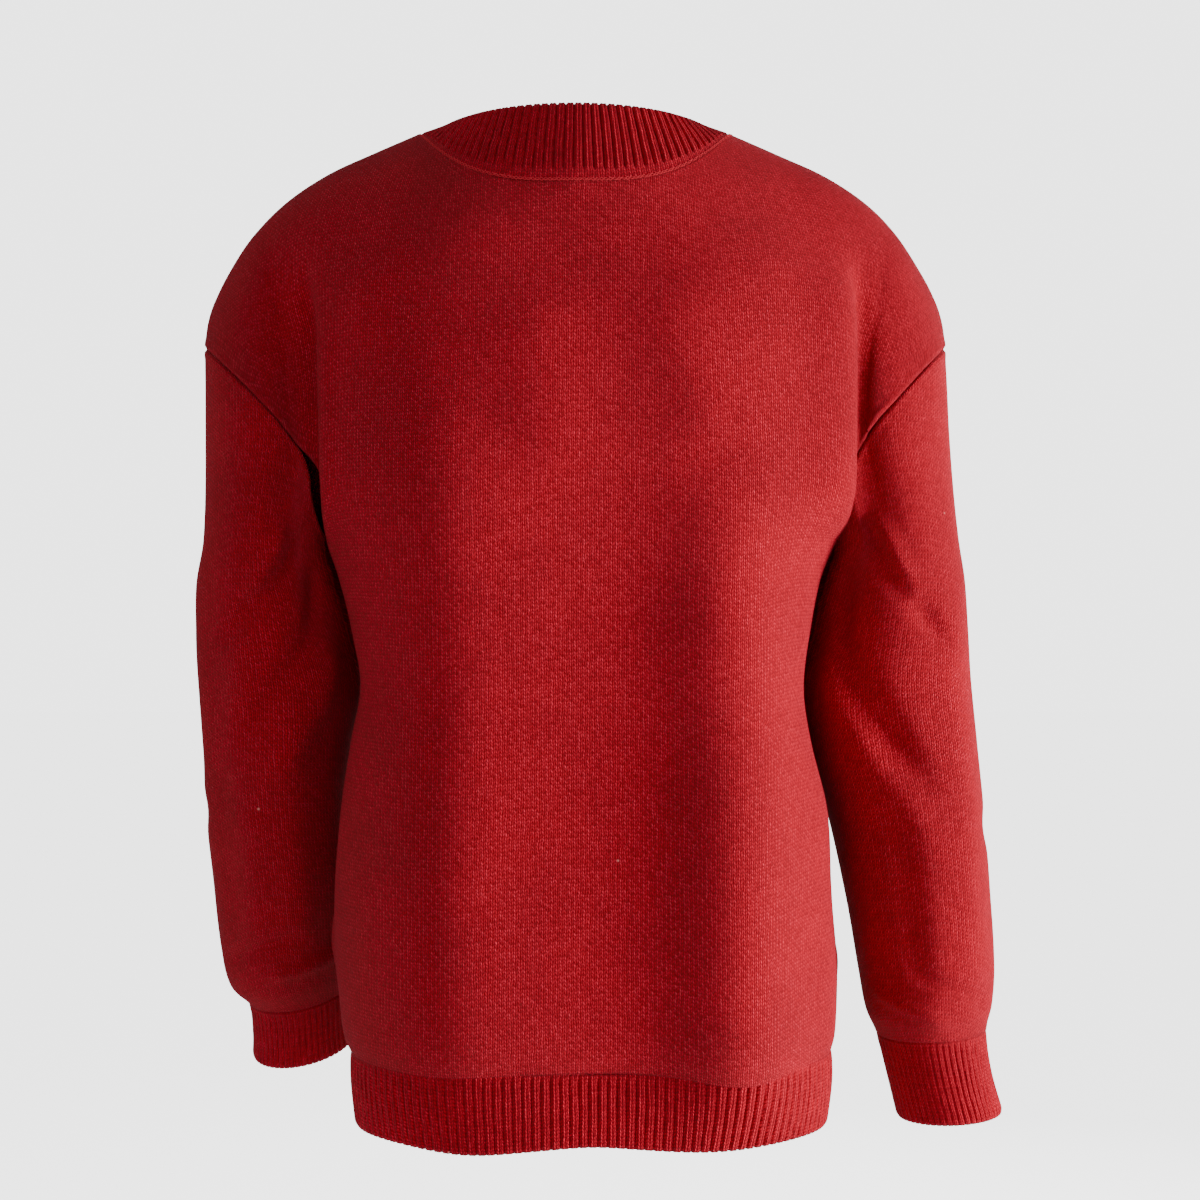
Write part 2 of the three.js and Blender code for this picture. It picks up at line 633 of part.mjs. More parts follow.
const line = frontLine();
for (let k = 0; k < BUTTON_COUNT; k += 1) {
  const z = mix(BUTTON_TOP_Z, BUTTON_BOTTOM_Z, k / (BUTTON_COUNT - 1));
  const middle = onFrontLine(line, z);
  middle.x = 0;
  const reach = [-1, -0.5, 0.5, 1].map((share) => {
    const point = onFrontLine(line, z + share * BUTTON_RADIUS);
    point.x = 0;
    return point;
  });
  const slope = reach[3].clone().sub(reach[0]).normalize();
  const normal = vec(0, -slope.z, slope.y);
  // The button clears the highest place of the band under it.
  const rise = Math.max(0, ...reach.map((point) => point.clone().sub(middle).dot(normal)));
  middle.addScaledVector(normal, WALL + 2 * LAP_GAP + BUTTON_BEVEL + rise);
  const sideways = vec(1, 0, 0);
  const basis = new THREE.Matrix4().makeBasis(sideways, normal.clone().cross(sideways), normal);
  basis.setPosition(middle);
  const material = new THREE.MeshStandardMaterial({ color: BUTTON_RED, roughness: 0.35, metalness: 0 });
  const button = new THREE.Mesh(buttonGeometry().applyMatrix4(basis), material);
  button.name = `button_${k + 1}`;
  part.add(button);
}

export default part;
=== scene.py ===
"""Look of a hollow, worn button cardigan: round ribbed neckband, drop shoulders,
long sleeves with ribbed cuffs, ribbed hem and a buttoned front.

Sizes are in millimetres until a mesh is written. +Z is up, the front faces -Y and
the wearer's left is +X. The cloth is a thin shell on the form of its own solid."""
import math

import bpy
import mathutils
import numpy as np
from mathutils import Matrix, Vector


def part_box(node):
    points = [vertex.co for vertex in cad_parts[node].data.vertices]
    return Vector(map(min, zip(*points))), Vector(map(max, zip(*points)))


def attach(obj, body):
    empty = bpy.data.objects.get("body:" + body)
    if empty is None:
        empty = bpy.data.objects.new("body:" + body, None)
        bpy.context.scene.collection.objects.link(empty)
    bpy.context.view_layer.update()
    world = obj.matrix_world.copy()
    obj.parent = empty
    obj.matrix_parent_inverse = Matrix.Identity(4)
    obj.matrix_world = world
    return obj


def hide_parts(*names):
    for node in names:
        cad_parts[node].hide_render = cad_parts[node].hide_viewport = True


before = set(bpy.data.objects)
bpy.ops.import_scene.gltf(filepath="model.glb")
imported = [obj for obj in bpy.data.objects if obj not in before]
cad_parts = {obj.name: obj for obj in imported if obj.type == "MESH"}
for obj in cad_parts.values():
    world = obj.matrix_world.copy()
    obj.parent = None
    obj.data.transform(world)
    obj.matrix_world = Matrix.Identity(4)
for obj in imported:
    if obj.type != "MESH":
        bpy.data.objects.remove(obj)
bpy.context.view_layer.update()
MM = 0.001

# ------------------------------------------------------------------ sizes
WALL = 2.6
RIB_WALL = 3.0
NECK_WALL = 3.6
UNDERARM_Z = -262.0
RIB_SEAM_Z = -598.0
PANEL_PAST_SEAM = 0.4
RIB_PAST_SEAM = 0.3
HEM_Z = -645.0
TIP_OUT = 244.0
TIP_Z = -138.0
NECK_HALF = 103.0
NECK_SEAM_Z = 2.0
NECK_BACK_Z = -41.0
NECK_FRONT_Z = -90.0
NECK_SLOPE = 0.45
# How sharply each neck edge rises from the middle to the shoulders, as a power.
BACK_RISE, FRONT_RISE, TOP_RISE = 3.2, 1.9, 1.7
# The cross section's power: 2 is an ellipse, more is squarer.
SQUARE = 2.4
# Radius of the roll over the shoulder near the neck and out on the arm, with the
# distance out where it starts to change and the length it takes.
ROLL_NECK, ROLL_ARM = 105.0, 60.0
ROLL_FROM, ROLL_OVER = 130, 80
# The trunk and the arm melt together by MELT, fully MELT_RISE above the underarm.
MELT, MELT_RISE = 20, 30
BAND_HALF = 16.0
BAND_LAP = 6.0
LAP_GAP = 0.35
FRONT_EDGE = BAND_HALF + 0.2
# The front's neckline stays level as far out as this.
NECK_LEVEL = BAND_HALF + BAND_LAP + 4
# Share of each panel's top edge that is shoulder, where the rest is neck, and share of a
# panel's rows that lie below the underarm.
SHOULDER_STEPS = 8
BACK_SHOULDER = SHOULDER_STEPS / 15
FRONT_SHOULDER = SHOULDER_STEPS / 14
LOWER_SHARE = 0.57
# The sleeve leaves the armhole's own shape over this share of its length.
ARMHOLE_HOLD = 0.28
ARM_RADIUS = 48.0
ARM_ROUND = 330.0
WALE = 2.85
COURSE = 2.35
NECK_RIB_PITCH = 6.7
BELLY = 0.5

# Each table: the names of its columns, then a row for each section.
HEM_RIB = ("z left right back front", [
    (-645, 143.5, 165, 100, 111), (-620, 146, 168, 102, 113), (-598, 147, 168.5, 103, 114)])
BODY = ("z left right back front", [
    (-598, 147, 168.5, 103, 114), (-588, 151.5, 171, 108, 119), (-562, 154, 171, 110, 122),
    (-528, 156, 170, 110, 122), (-488, 157, 168, 107, 120), (-440, 153, 165, 103, 117),
    (-396, 146, 152.5, 99.5, 114), (-360, 139, 146, 99, 114), (-322, 145.5, 152.5, 102, 118),
    (-292, 153.5, 159.5, 106, 123), (-262, 163, 170, 111, 128)])
TRUNK = ("z left right back front", [
    (-262, 163, 170, 111, 128), (-245, 172.5, 180, 112, 130), (-225, 179, 185, 113, 131),
    (-200, 182, 187, 114, 131), (-160, 184, 188, 113, 126), (-120, 188, 192, 108, 117),
    (-80, 197, 199, 98, 104), (-40, 216, 216, 88, 88), (0, 236, 236, 80, 72),
    (60, 246, 246, 76, 62)])
SHOULDER = ("out z step", [
    (103, 2, 8), (133, -10.5, 7), (163, -24, 6), (190, -42, 5), (210, -62, 4),
    (226, -86, 3), (236, -105, 2), (241.5, -121, 1), (244, -138, 0)])
ARMHOLE = ("rise left right", [
    (0, 163, 170), (0.15, 167, 174), (0.28, 169, 176), (0.4, 173.5, 180), (0.5, 181, 186.5),
    (0.6, 190, 195), (0.7, 202, 206), (0.8, 215, 217.5), (0.9, 229, 230), (1, 244, 244)])
SLEEVE_LEFT = ("z out back wide deep lean", [
    (-60, 196, 0, 46, 46, 0), (-138, 201, 0, 43, 50, 0), (-200, 202, 0, 41, 53, 0),
    (-262, 205.5, -6, 39, 53, 4), (-292, 203, -13, 47, 52, 8), (-322, 200, -20, 52.5, 51, 9),
    (-360, 197, -30, 55.5, 51, 9), (-400, 200, -41, 51.5, 50, 7), (-440, 202, -51, 48.5, 48, 4),
    (-488, 200.5, -66, 47.5, 46, 2), (-535, 200, -82, 45.5, 44, 0), (-560, 198, -91, 43, 42, 0),
    (-575, 193, -97, 36.5, 36, 0), (-600, 192, -105, 35, 35, 0), (-622, 192, -112, 36.5, 36, 0)])
SLEEVE_RIGHT = ("z out back wide deep lean", [
    (-60, 196, 0, 46, 46, 0), (-138, 201, 0, 43, 50, 0), (-200, 205, 0, 42, 53, 0),
    (-262, 213, -5, 39, 53, 4), (-292, 210, -13, 47, 52, 8), (-322, 207.5, -20, 52.5, 53, 9),
    (-360, 205.5, -26, 57.5, 53, 9), (-400, 211.5, -27, 55.5, 52, 9), (-440, 220, -27, 51.5, 50, 7),
    (-500, 229, -26, 47.5, 48, 4), (-550, 235, -26, 45, 46, 2), (-575, 236.5, -25, 42, 43, 0),
    (-592, 238.5, -26, 36.5, 37, 0), (-620, 244, -27, 34.5, 35, 0), (-648, 251.5, -29, 35, 35, 0)])
SLEEVES = {
    "left": dict(side=1, form=SLEEVE_LEFT, cuff=-575.0, end=-616.0, tip_out=-0.16, tip_front=0.3),
    "right": dict(side=-1, form=SLEEVE_RIGHT, cuff=-592.0, end=-648.0, tip_out=0.06, tip_front=0.05),
}
# The fronts swell past the side seams above the hem rib: side, height, half height,
# turn from the seam, half width in turn, how far out.
SWELLS = [(1, -532, 34, 0.2, 0.17, 10), (-1, -545, 28, 0.2, 0.17, 8)]
NECK_TOP = dict(half=83.0, back=62.0, front=80.0, side_z=6.0, back_z=13.0, front_z=-54.0)

# Soft ridges (+) and troughs (-) of the back: from x, z to x, z, half width, height.
BACK_FOLDS = [
    (172, -100, 166, -262, 5.5, -9), (157, -130, 158, -270, 6, 3),
    (-180, -95, -178, -255, 8, -8), (-163, -100, -164, -252, 19, 11),
    (88, -170, 84, -640, 42, 9), (-26, -190, -30, -640, 40, -3), (-98, -250, -104, -640, 36, 22),
    (30, -120, 6, -230, 26, 2.5), (-60, -110, -84, -210, 22, 2), (-124, -75, -120, -270, 60, 9),
]
FRONT_FOLDS = [
    (170, -110, 166, -250, 6, -8), (-174, -110, -172, -250, 6, -8), (70, -190, 62, -590, 34, 6),
    (-76, -200, -70, -590, 34, 6), (118, -180, 112, -560, 22, -3), (-120, -200, -116, -560, 22, -3),
    (-140, -500, -70, -560, 11, 3), (135, -470, 72, -545, 11, 3), (-150, -300, -95, -360, 13, 2.5),
    (146, -290, 90, -350, 13, 2.5),
]


# ------------------------------------------------------------------ curves
def along(table, at, column, key=None):
    """Cubic Hermite curve through a table's column, with the mean slope at each row:
    p(s) = (2s^3-3s^2+1)a + (s^3-2s^2+s)h*m_a + (3s^2-2s^3)b + (s^3-s^2)h*m_b."""
    names = table[0].split()
    rows = np.array(table[1], float)
    k = rows[:, names.index(key or names[0])]
    order = np.argsort(k)
    k = k[order]
    v = rows[order, names.index(column)]
    low = np.maximum(np.arange(len(k)) - 1, 0)
    high = np.minimum(np.arange(len(k)) + 1, len(k) - 1)
    slope = (v[high] - v[low]) / (k[high] - k[low])
    t = np.clip(np.asarray(at, float), k[0], k[-1])
    i = np.clip(np.searchsorted(k, t, side="right") - 1, 0, len(k) - 2)
    h = k[i + 1] - k[i]
    s = (t - k[i]) / h
    s2, s3 = s * s, s * s * s
    return ((2 * s3 - 3 * s2 + 1) * v[i] + (s3 - 2 * s2 + s) * h * slope[i]
            + (3 * s2 - 2 * s3) * v[i + 1] + (s3 - s2) * h * slope[i + 1])


def mix(a, b, t):
    return a + (b - a) * t


def ease(t):
    t = np.clip(t, 0, 1)
    return t * t * (3 - 2 * t)


def bell(t):
    return np.exp(-t * t)


def noise(x, y, seed):
    """Smooth wandering value about 0: sines of three scales, three of each, with seeded
    directions and phases."""
    rng = np.random.RandomState(seed)
    total = 0.0
    for k in range(9):
        scale = 2.0 ** (k // 3)
        turn, phase = rng.uniform(0, 2 * np.pi, 2)
        total = total + np.sin((x * np.cos(turn) + y * np.sin(turn)) * scale + phase) / scale
    return total / 3


# ------------------------------------------------------------------ the worn form
def trunk_point(turn, z, table):
    """Rounded box: x = reach * |cos|^(2/n), y = depth * |sin|^(2/n), with their signs;
    the swells of the fronts are bells in turn and height added to x."""
    c, s = np.cos(turn), np.sin(turn)
    power = 2 / SQUARE
    reach = np.where(c > 0, along(table, z, "left"), along(table, z, "right"))
    depth = np.where(s > 0, along(table, z, "back"), along(table, z, "front"))
    x = reach * np.sign(c) * np.abs(c) ** power
    y = depth * np.sign(s) * np.abs(s) ** power
    for side, height, tall, off, around, out in SWELLS:
        middle = -off if side > 0 else np.pi + off
        away = (turn - middle + np.pi) % (2 * np.pi) - np.pi
        x = x + side * out * bell(away / around) * bell((z - height) / tall)
    return x, y


def shoulder_height(out):
    return np.where(out < NECK_HALF, NECK_SEAM_Z + NECK_SLOPE * (NECK_HALF - out),
                    along(SHOULDER, out, "z"))


def upper_depth(side, face, out, z):
    """Depth above the underarm: the trunk's rounded box and the upper arm's ellipse
    meet in a soft maximum, then both roll over the shoulder as a quarter circle."""
    name = "left" if side > 0 else "right"
    reach = along(TRUNK, z, name)
    depth = along(TRUNK, z, "back" if face > 0 else "front")
    across = np.minimum(1, np.abs(out) / reach)
    trunk = depth * np.maximum(0, 1 - across ** SQUARE) ** (1 / SQUARE)
    form = SLEEVES[name]["form"]
    off = np.clip((out - along(form, z, "out")) / along(form, z, "wide"), -1, 1)
    arm = face * along(form, z, "back") + along(form, z, "deep") * np.sqrt(1 - off * off)
    rise = np.clip((z - UNDERARM_Z) / MELT_RISE, 0, 1)
    melted = (trunk + arm + np.hypot(trunk - arm, MELT * rise)) / 2
    joined = mix(trunk, melted, ease(rise))
    roll = mix(ROLL_NECK, ROLL_ARM, ease((out - ROLL_FROM) / ROLL_OVER))
    under = np.clip((shoulder_height(out) - z) / roll, 0, 1)
    return face * joined * np.sqrt(1 - (1 - under) ** 2)


def past_bands(out, half):
    """Share of the way from the level stretch behind the bands (0) to the shoulder (1)."""
    return np.clip((out - NECK_LEVEL) / (half - NECK_LEVEL), 0, 1)


def neck_seam(face, place, middle):
    """Neck seam at a place from the shoulder (0) to the middle (1): out and z."""
    out = NECK_HALF * np.cos(math.acos(middle / NECK_HALF) * place)
    if face > 0:
        return out, mix(NECK_BACK_Z, NECK_SEAM_Z, (out / NECK_HALF) ** BACK_RISE)
    return out, mix(NECK_FRONT_Z, NECK_SEAM_Z, past_bands(out, NECK_HALF) ** FRONT_RISE)


def top_edge(face, c, middle):
    """Top of a panel at the column share c: the shoulder line, then the neck seam."""
    shoulder = BACK_SHOULDER if face > 0 else FRONT_SHOULDER
    step = np.clip(c / shoulder, 0, 1) * SHOULDER_STEPS
    neck_out, neck_z = neck_seam(face, np.clip((c - shoulder) / (1 - shoulder), 0, 1), middle)
    on_shoulder = c <= shoulder
    out = np.where(on_shoulder, along(SHOULDER, step, "out", key="step"), neck_out)
    z = np.where(on_shoulder, along(SHOULDER, step, "z", key="step"), neck_z)
    return out, z


def half_panel(side, face, c, t, middle):
    """Points of a half panel. c runs from the side seam and armhole (0) to the middle
    (1), t from the rib seam (0) to the shoulder and neck (1)."""
    name = "left" if side > 0 else "right"
    power = SQUARE / 2
    c, t = np.meshgrid(c, t)
    lower = t <= LOWER_SHARE
    z_low = mix(RIB_SEAM_Z - PANEL_PAST_SEAM, UNDERARM_Z, np.clip(t / LOWER_SHARE, 0, 1))
    end = np.arccos((middle / along(BODY, z_low, name)) ** power)
    turn = end * c if side > 0 else np.pi - end * c
    turn = turn * face if side > 0 else (turn if face > 0 else -turn)
    x_low, y_low = trunk_point(turn, z_low, BODY)
    rise = np.sin(np.pi / 2 * np.clip((t - LOWER_SHARE) / (1 - LOWER_SHARE), 0, 1))
    edge = along(ARMHOLE, rise, name)
    reach = along(BODY, UNDERARM_Z, name)
    base = np.cos(math.acos((middle / reach) ** power) * c) ** (2 / SQUARE)
    top_out, top_z = top_edge(face, c, middle)
    out = edge * mix(base, top_out / TIP_OUT, rise)
    at_middle = edge * mix(middle / reach, middle / TIP_OUT, rise)
    out = out + (middle - at_middle) * c ** 8
    z_up = mix(UNDERARM_Z, top_z, rise)
    y_up = upper_depth(side, face, out, z_up)
    x = np.where(lower, x_low, side * out)
    y = np.where(lower, y_low, y_up)
    z = np.where(lower, z_low, z_up)
    return np.stack([x, y, z], -1)


def rib_points(side, face, c, t, middle):
    """Hem rib under a half panel: t from its bottom edge (0) to the rib seam (1)."""
    name = "left" if side > 0 else "right"
    c, t = np.meshgrid(c, t)
    z = mix(HEM_Z, RIB_SEAM_Z + RIB_PAST_SEAM, t)
    end = np.arccos((middle / along(HEM_RIB, z, name)) ** (SQUARE / 2))
    turn = end * c if side > 0 else np.pi - end * c
    turn = turn * face if side > 0 else (turn if face > 0 else -turn)
    x, y = trunk_point(turn, z, HEM_RIB)
    return np.stack([x, y, z], -1)


def sleeve_place(spec, turn, z):
    """Point of the arm's leaning ellipse: turn 0 is the outside, a quarter turn the back."""
    out = (along(spec["form"], z, "out") + along(spec["form"], z, "wide") * np.cos(turn)
           + along(spec["form"], z, "lean") * np.sin(turn))
    y = along(spec["form"], z, "back") + along(spec["form"], z, "deep") * np.sin(turn)
    return np.stack([spec["side"] * out, y, z + 0 * out], -1)


def tipped(spec, point, turn, share):
    """Tips a ring of the arm: each point rises by its turn, as a tilted cut does."""
    lift = spec["tip_out"] * np.cos(turn) - spec["tip_front"] * np.sin(turn)
    wide = along(spec["form"], point[..., 2], "wide")
    return point + np.stack([0 * lift, 0 * lift, share * wide * lift], -1)


def armhole_ring(spec, share):
    """Armhole seam: share 0 at the shoulder tip, 0.5 at the underarm, the back first."""
    name = "left" if spec["side"] > 0 else "right"
    back = share <= 0.5
    rise = np.sin(np.pi / 2 * np.abs(1 - 2 * share))
    out = along(ARMHOLE, rise, name)
    z = mix(UNDERARM_Z, TIP_Z, rise)
    y = np.where(back, upper_depth(spec["side"], 1, out, z), upper_depth(spec["side"], -1, out, z))
    return np.stack([spec["side"] * out, y, z], -1)


def sleeve_points(spec, share, down):
    """Sleeve: rings that leave the armhole seam and settle on the arm's ellipses."""
    seam = armhole_ring(spec, share)
    across = spec["side"] * seam[:, 0] - along(spec["form"], seam[:, 2], "out")
    back = seam[:, 1] - along(spec["form"], seam[:, 2], "back")
    seam_turn = np.arctan2(back / along(spec["form"], seam[:, 2], "deep"),
                           across / along(spec["form"], seam[:, 2], "wide"))
    seam_turn = np.where(seam_turn < -1e-6, seam_turn + 2 * np.pi, seam_turn)
    pull = seam - sleeve_place(spec, seam_turn, seam[:, 2])
    turn = mix(seam_turn[None], 2 * np.pi * share[None], ease(down * 1.6)[:, None])
    z = mix(seam[None, :, 2], spec["cuff"], down[:, None])
    hold = (1 - np.clip(down / ARMHOLE_HOLD, 0, 1)) ** 2
    point = sleeve_place(spec, turn, z) + pull[None] * hold[:, None, None]
    return tipped(spec, point, turn, ease(down)[:, None])


def cuff_points(spec, share, down):
    """Cuff: the arm's ellipses go on from the sleeve's end to the cuff's edge."""
    turn = 2 * np.pi * share[None] + 0 * down[:, None]
    z = mix(spec["cuff"], spec["end"], down)[:, None] + 0 * turn
    return tipped(spec, sleeve_place(spec, turn, z), turn, 1.0)


# ------------------------------------------------------------------ shells
def grid_normals(p, closed, outward):
    """Normals of a grid from the cross product of its two directions."""
    if closed:
        across = np.roll(p, -1, 1) - np.roll(p, 1, 1)
    else:
        across = np.gradient(p, axis=1)
    up = np.gradient(p, axis=0)
    n = np.cross(across, up)
    n /= np.maximum(np.linalg.norm(n, axis=-1, keepdims=True), 1e-9)
    return n * outward


def arc(p, axis):
    """Length run along a grid's rows (axis 1) or columns (axis 0)."""
    step = np.linalg.norm(np.diff(p, axis=axis), axis=-1)
    pad = [(0, 0), (0, 0)]
    pad[axis] = (1, 0)
    return np.cumsum(np.pad(step, pad), axis=axis)


def rim_distance(p, closed):
    """Distance of every point from the grid's own rims: bottom, top, first, last."""
    up = arc(p, 0)
    bottom, top = up, up[-1:] - up
    if closed:
        far = np.full(up.shape, 1e3)
        return bottom, top, far, far
    run = arc(p, 1)
    return bottom, top, run, run[:, -1:] - run


def roll_rim(distance, depth, reach, ridge=0.0):
    """A rim bends in towards the wearer and may swell a little beside the seam."""
    return -depth * bell(distance / reach) + ridge * bell((distance - 3.5) / 2)


def shell(name, p, normals, wall, uv, closed=False):
    """Closed shell: the outer grid, a coarser inner grid one wall in, and rims that join
    them. Outer quads (j,i), inner quads on every second row and column, and three
    triangles for each coarse step of a rim."""
    rows, cols = p.shape[:2]
    k = 2
    in_rows, in_cols = np.arange(0, rows, k), np.arange(0, cols, k)
    inner = (p - normals * wall)[np.ix_(in_rows, in_cols)]
    nr, nc = inner.shape[:2]
    verts = np.concatenate([p.reshape(-1, 3), inner.reshape(-1, 3)]) * MM
    outer_id = np.arange(rows * cols).reshape(rows, cols)
    inner_id = rows * cols + np.arange(nr * nc).reshape(nr, nc)
    if closed:
        outer_id = np.concatenate([outer_id, outer_id[:, :1]], 1)
        inner_id = np.concatenate([inner_id, inner_id[:, :1]], 1)

    def quads(ids, flip):
        a, b, c, d = ids[:-1, :-1], ids[:-1, 1:], ids[1:, 1:], ids[1:, :-1]
        order = (a, d, c, b) if flip else (a, b, c, d)
        return np.stack(order, -1).reshape(-1, 4)

    def rim(fine, coarse, flip):
        """Joins k fine steps to each coarse one by a fan about both coarse ends."""
        n = len(coarse) - 1
        tris = []
        for step in range(k):
            near, far = fine[step:k * n:k], fine[step + 1:k * n + 1:k]
            tris.append(np.stack([near, far, coarse[:-1] if step < k / 2 else coarse[1:]], -1))
        middle = fine[(k + 1) // 2:k * n + 1:k]
        tris = np.concatenate(tris + [np.stack([middle, coarse[1:], coarse[:-1]], -1)])
        return tris[:, ::-1] if flip else tris

    faces4 = np.concatenate([quads(outer_id, False), quads(inner_id, True)])
    faces3 = [rim(outer_id[0], inner_id[0], True), rim(outer_id[-1], inner_id[-1], False)]
    if not closed:
        faces3 += [rim(outer_id[:, 0], inner_id[:, 0], False),
                   rim(outer_id[:, -1], inner_id[:, -1], True)]
    faces3 = np.concatenate(faces3)
    # Turn everything round if the shell encloses a negative volume.
    tri = np.concatenate([faces4[:, [0, 1, 2]], faces4[:, [0, 2, 3]], faces3])
    a, b, c = verts[tri[:, 0]], verts[tri[:, 1]], verts[tri[:, 2]]
    if (a * np.cross(b, c)).sum() < 0:
        faces4, faces3 = faces4[:, ::-1], faces3[:, ::-1]
    uv_all = np.concatenate([uv.reshape(-1, 2), uv[np.ix_(in_rows, in_cols)].reshape(-1, 2)])
    # One whole turn of the tube in stitches: the last column, and the step back to the first.
    turn = uv[0, -1, 0] + (uv[0, 1, 0] - uv[0, 0, 0]) if closed else 0
    return mesh_object(name, verts, faces4, faces3, uv_all, turn)


def mesh_object(name, verts, faces4, faces3, uv=None, turn=0):
    """Writes vertices and faces into a new object, with the stitch coordinates as a UV."""
    mesh = bpy.data.meshes.new(name)
    loops = np.concatenate([faces4.ravel(), faces3.ravel()]).astype(np.int32)
    totals = np.concatenate([np.full(len(faces4), 4), np.full(len(faces3), 3)]).astype(np.int32)
    starts = np.concatenate([[0], np.cumsum(totals)[:-1]]).astype(np.int32)
    mesh.vertices.add(len(verts))
    mesh.vertices.foreach_set("co", verts.astype(np.float32).ravel())
    mesh.loops.add(len(loops))
    mesh.loops.foreach_set("vertex_index", loops)
    mesh.polygons.add(len(totals))
    mesh.polygons.foreach_set("loop_start", starts)
    mesh.polygons.foreach_set("loop_total", totals)
    mesh.polygons.foreach_set("use_smooth", np.ones(len(totals), bool))
    mesh.update(calc_edges=True)
    if uv is not None:
        layer = mesh.uv_layers.new(name="stitches")
        values = uv[loops].astype(np.float32)
        if turn:
            # A face that closes the tube runs on past the last column.
            face = np.repeat(np.arange(len(totals)), totals)
            high = np.maximum.reduceat(values[:, 0], starts)[face]
            values[:, 0] += np.where(high - values[:, 0] > turn / 2, turn, 0)
        layer.data.foreach_set("uv", values.ravel())
    mesh.validate()
    obj = bpy.data.objects.new(name, mesh)
    bpy.context.scene.collection.objects.link(obj)
    return obj


def tube(name, path, radius, sides=6):
    """Round tube along a path of points, with flat ends and a frame kept level with a
    guide: ring points are side * cos + up * sin."""
    n = len(path)
    tangent = np.gradient(path, axis=0)
    tangent /= np.linalg.norm(tangent, axis=1, keepdims=True)
    steep = np.abs(tangent[:, 2:3]) > 0.9
    guide = np.where(steep, np.array([[1.0, 0, 0]]), np.array([[0, 0, 1.0]]))
    side = np.cross(tangent, guide)
    side /= np.linalg.norm(side, axis=1, keepdims=True)
    up = np.cross(side, tangent)
    angle = np.linspace(0, 2 * np.pi, sides, endpoint=False)[None, :, None]
    ring = side[:, None] * np.cos(angle) + up[:, None] * np.sin(angle)
    verts = (path[:, None] + ring * radius).reshape(-1, 3)
    ids = np.arange(n * sides).reshape(n, sides)
    ids = np.concatenate([ids, ids[:, :1]], 1)
    quads = np.stack([ids[:-1, :-1], ids[:-1, 1:], ids[1:, 1:], ids[1:, :-1]], -1).reshape(-1, 4)
    first = np.stack([ids[0, 1:], ids[0, :-1], np.full(sides, n * sides)], -1)
    last = np.stack([ids[-1, :-1], ids[-1, 1:], np.full(sides, n * sides + 1)], -1)
    verts = np.concatenate([verts, path[:1], path[-1:]]) * MM
    return mesh_object(name, verts, quads, np.concatenate([first, last]))


# ------------------------------------------------------------------ folds
# Folds of the sleeves: from turn, z to turn, z, half width, height. The turn is 0 at
# the outside, a quarter turn at the back.
SLEEVE_FOLDS = {
    "left": [
        (-0.1, -300, -0.1, -430, 26, -4), (2.6, -262, 1.2, -330, 7, -5), (2.9, -285, 1.3, -400, 9, -5),
        (2.2, -255, 1.6, -300, 7, 4), (2.8, -330, 1.6, -430, 10, 4), (1.0, -300, 0.9, -540, 14, -3),
        (2.0, -360, 1.9, -550, 12, 3), (1.9, -530, 0.6, -552, 6, -3), (2.6, -545, 1.4, -560, 5, 3),
        (0.4, -440, -0.6, -470, 9, -3), (-0.6, -350, -1.8, -290, 9, -4), (-1.0, -420, -2.2, -360, 9, -4),
    ],
    "right": [
        (2.5, -255, 1.1, -330, 7, -5), (2.9, -285, 1.5, -420, 9, -5), (2.2, -250, 1.5, -310, 7, 4),
        (2.8, -330, 1.7, -450, 10, 4), (0.9, -300, 1.0, -560, 14, 3), (1.9, -380, 1.9, -560, 12, -3),
        (1.9, -550, 0.6, -570, 6, -3), (2.6, -562, 1.4, -580, 5, 3), (0.4, -450, -0.6, -480, 9, -3),
        (-0.6, -350, -1.8, -290, 9, -4), (-1.0, -420, -2.2, -360, 9, -4),
    ],
}
# Waves of the hem's lower edge at the back: x, half width, height.
HEM_WAVES = [(66, 36, -4.0), (-12, 26, 1.8), (-82, 34, -2.0)]


def one_fold(x, z, dx, dz, width, height, run_on):
    """Soft fold along (dx, dz) from its start, where x and z are 0: a bell across its
    line, which swells and dies over a short run about both ends."""
    length = math.hypot(dx, dz)
    t = (x * dx + z * dz) / length ** 2
    off = (x * dz - z * dx) / length
    fade = ease((t + run_on) / (run_on + 0.2)) * ease((1 + run_on - t) / (run_on + 0.2))
    return height * bell(off / width) * fade


def panel_folds(x, z, folds):
    """Sum of a panel's folds, drawn on its x and z."""
    total = 0.0
    for x0, z0, x1, z1, width, height in folds:
        total = total + one_fold(x - x0, z - z0, x1 - x0, z1 - z0, width, height, 0.12)
    return total


def sleeve_folds(turn, z, folds):
    """Sum of a sleeve's folds, drawn on its turn and z, with the arm's mean radius."""
    total = 0.0
    for turn0, z0, turn1, z1, width, height in folds:
        x = ((turn - turn0 + np.pi) % (2 * np.pi) - np.pi) * ARM_RADIUS
        dx = (turn1 - turn0) * ARM_RADIUS
        total = total + one_fold(x, z - z0, dx, z1 - z0, width, height, 0.15)
    return total


def drawn_in(z):
    """How far the cloth is drawn in where the hem rib grips it: one bell over the height."""
    return -0.9 * bell((z + 594) / 13)


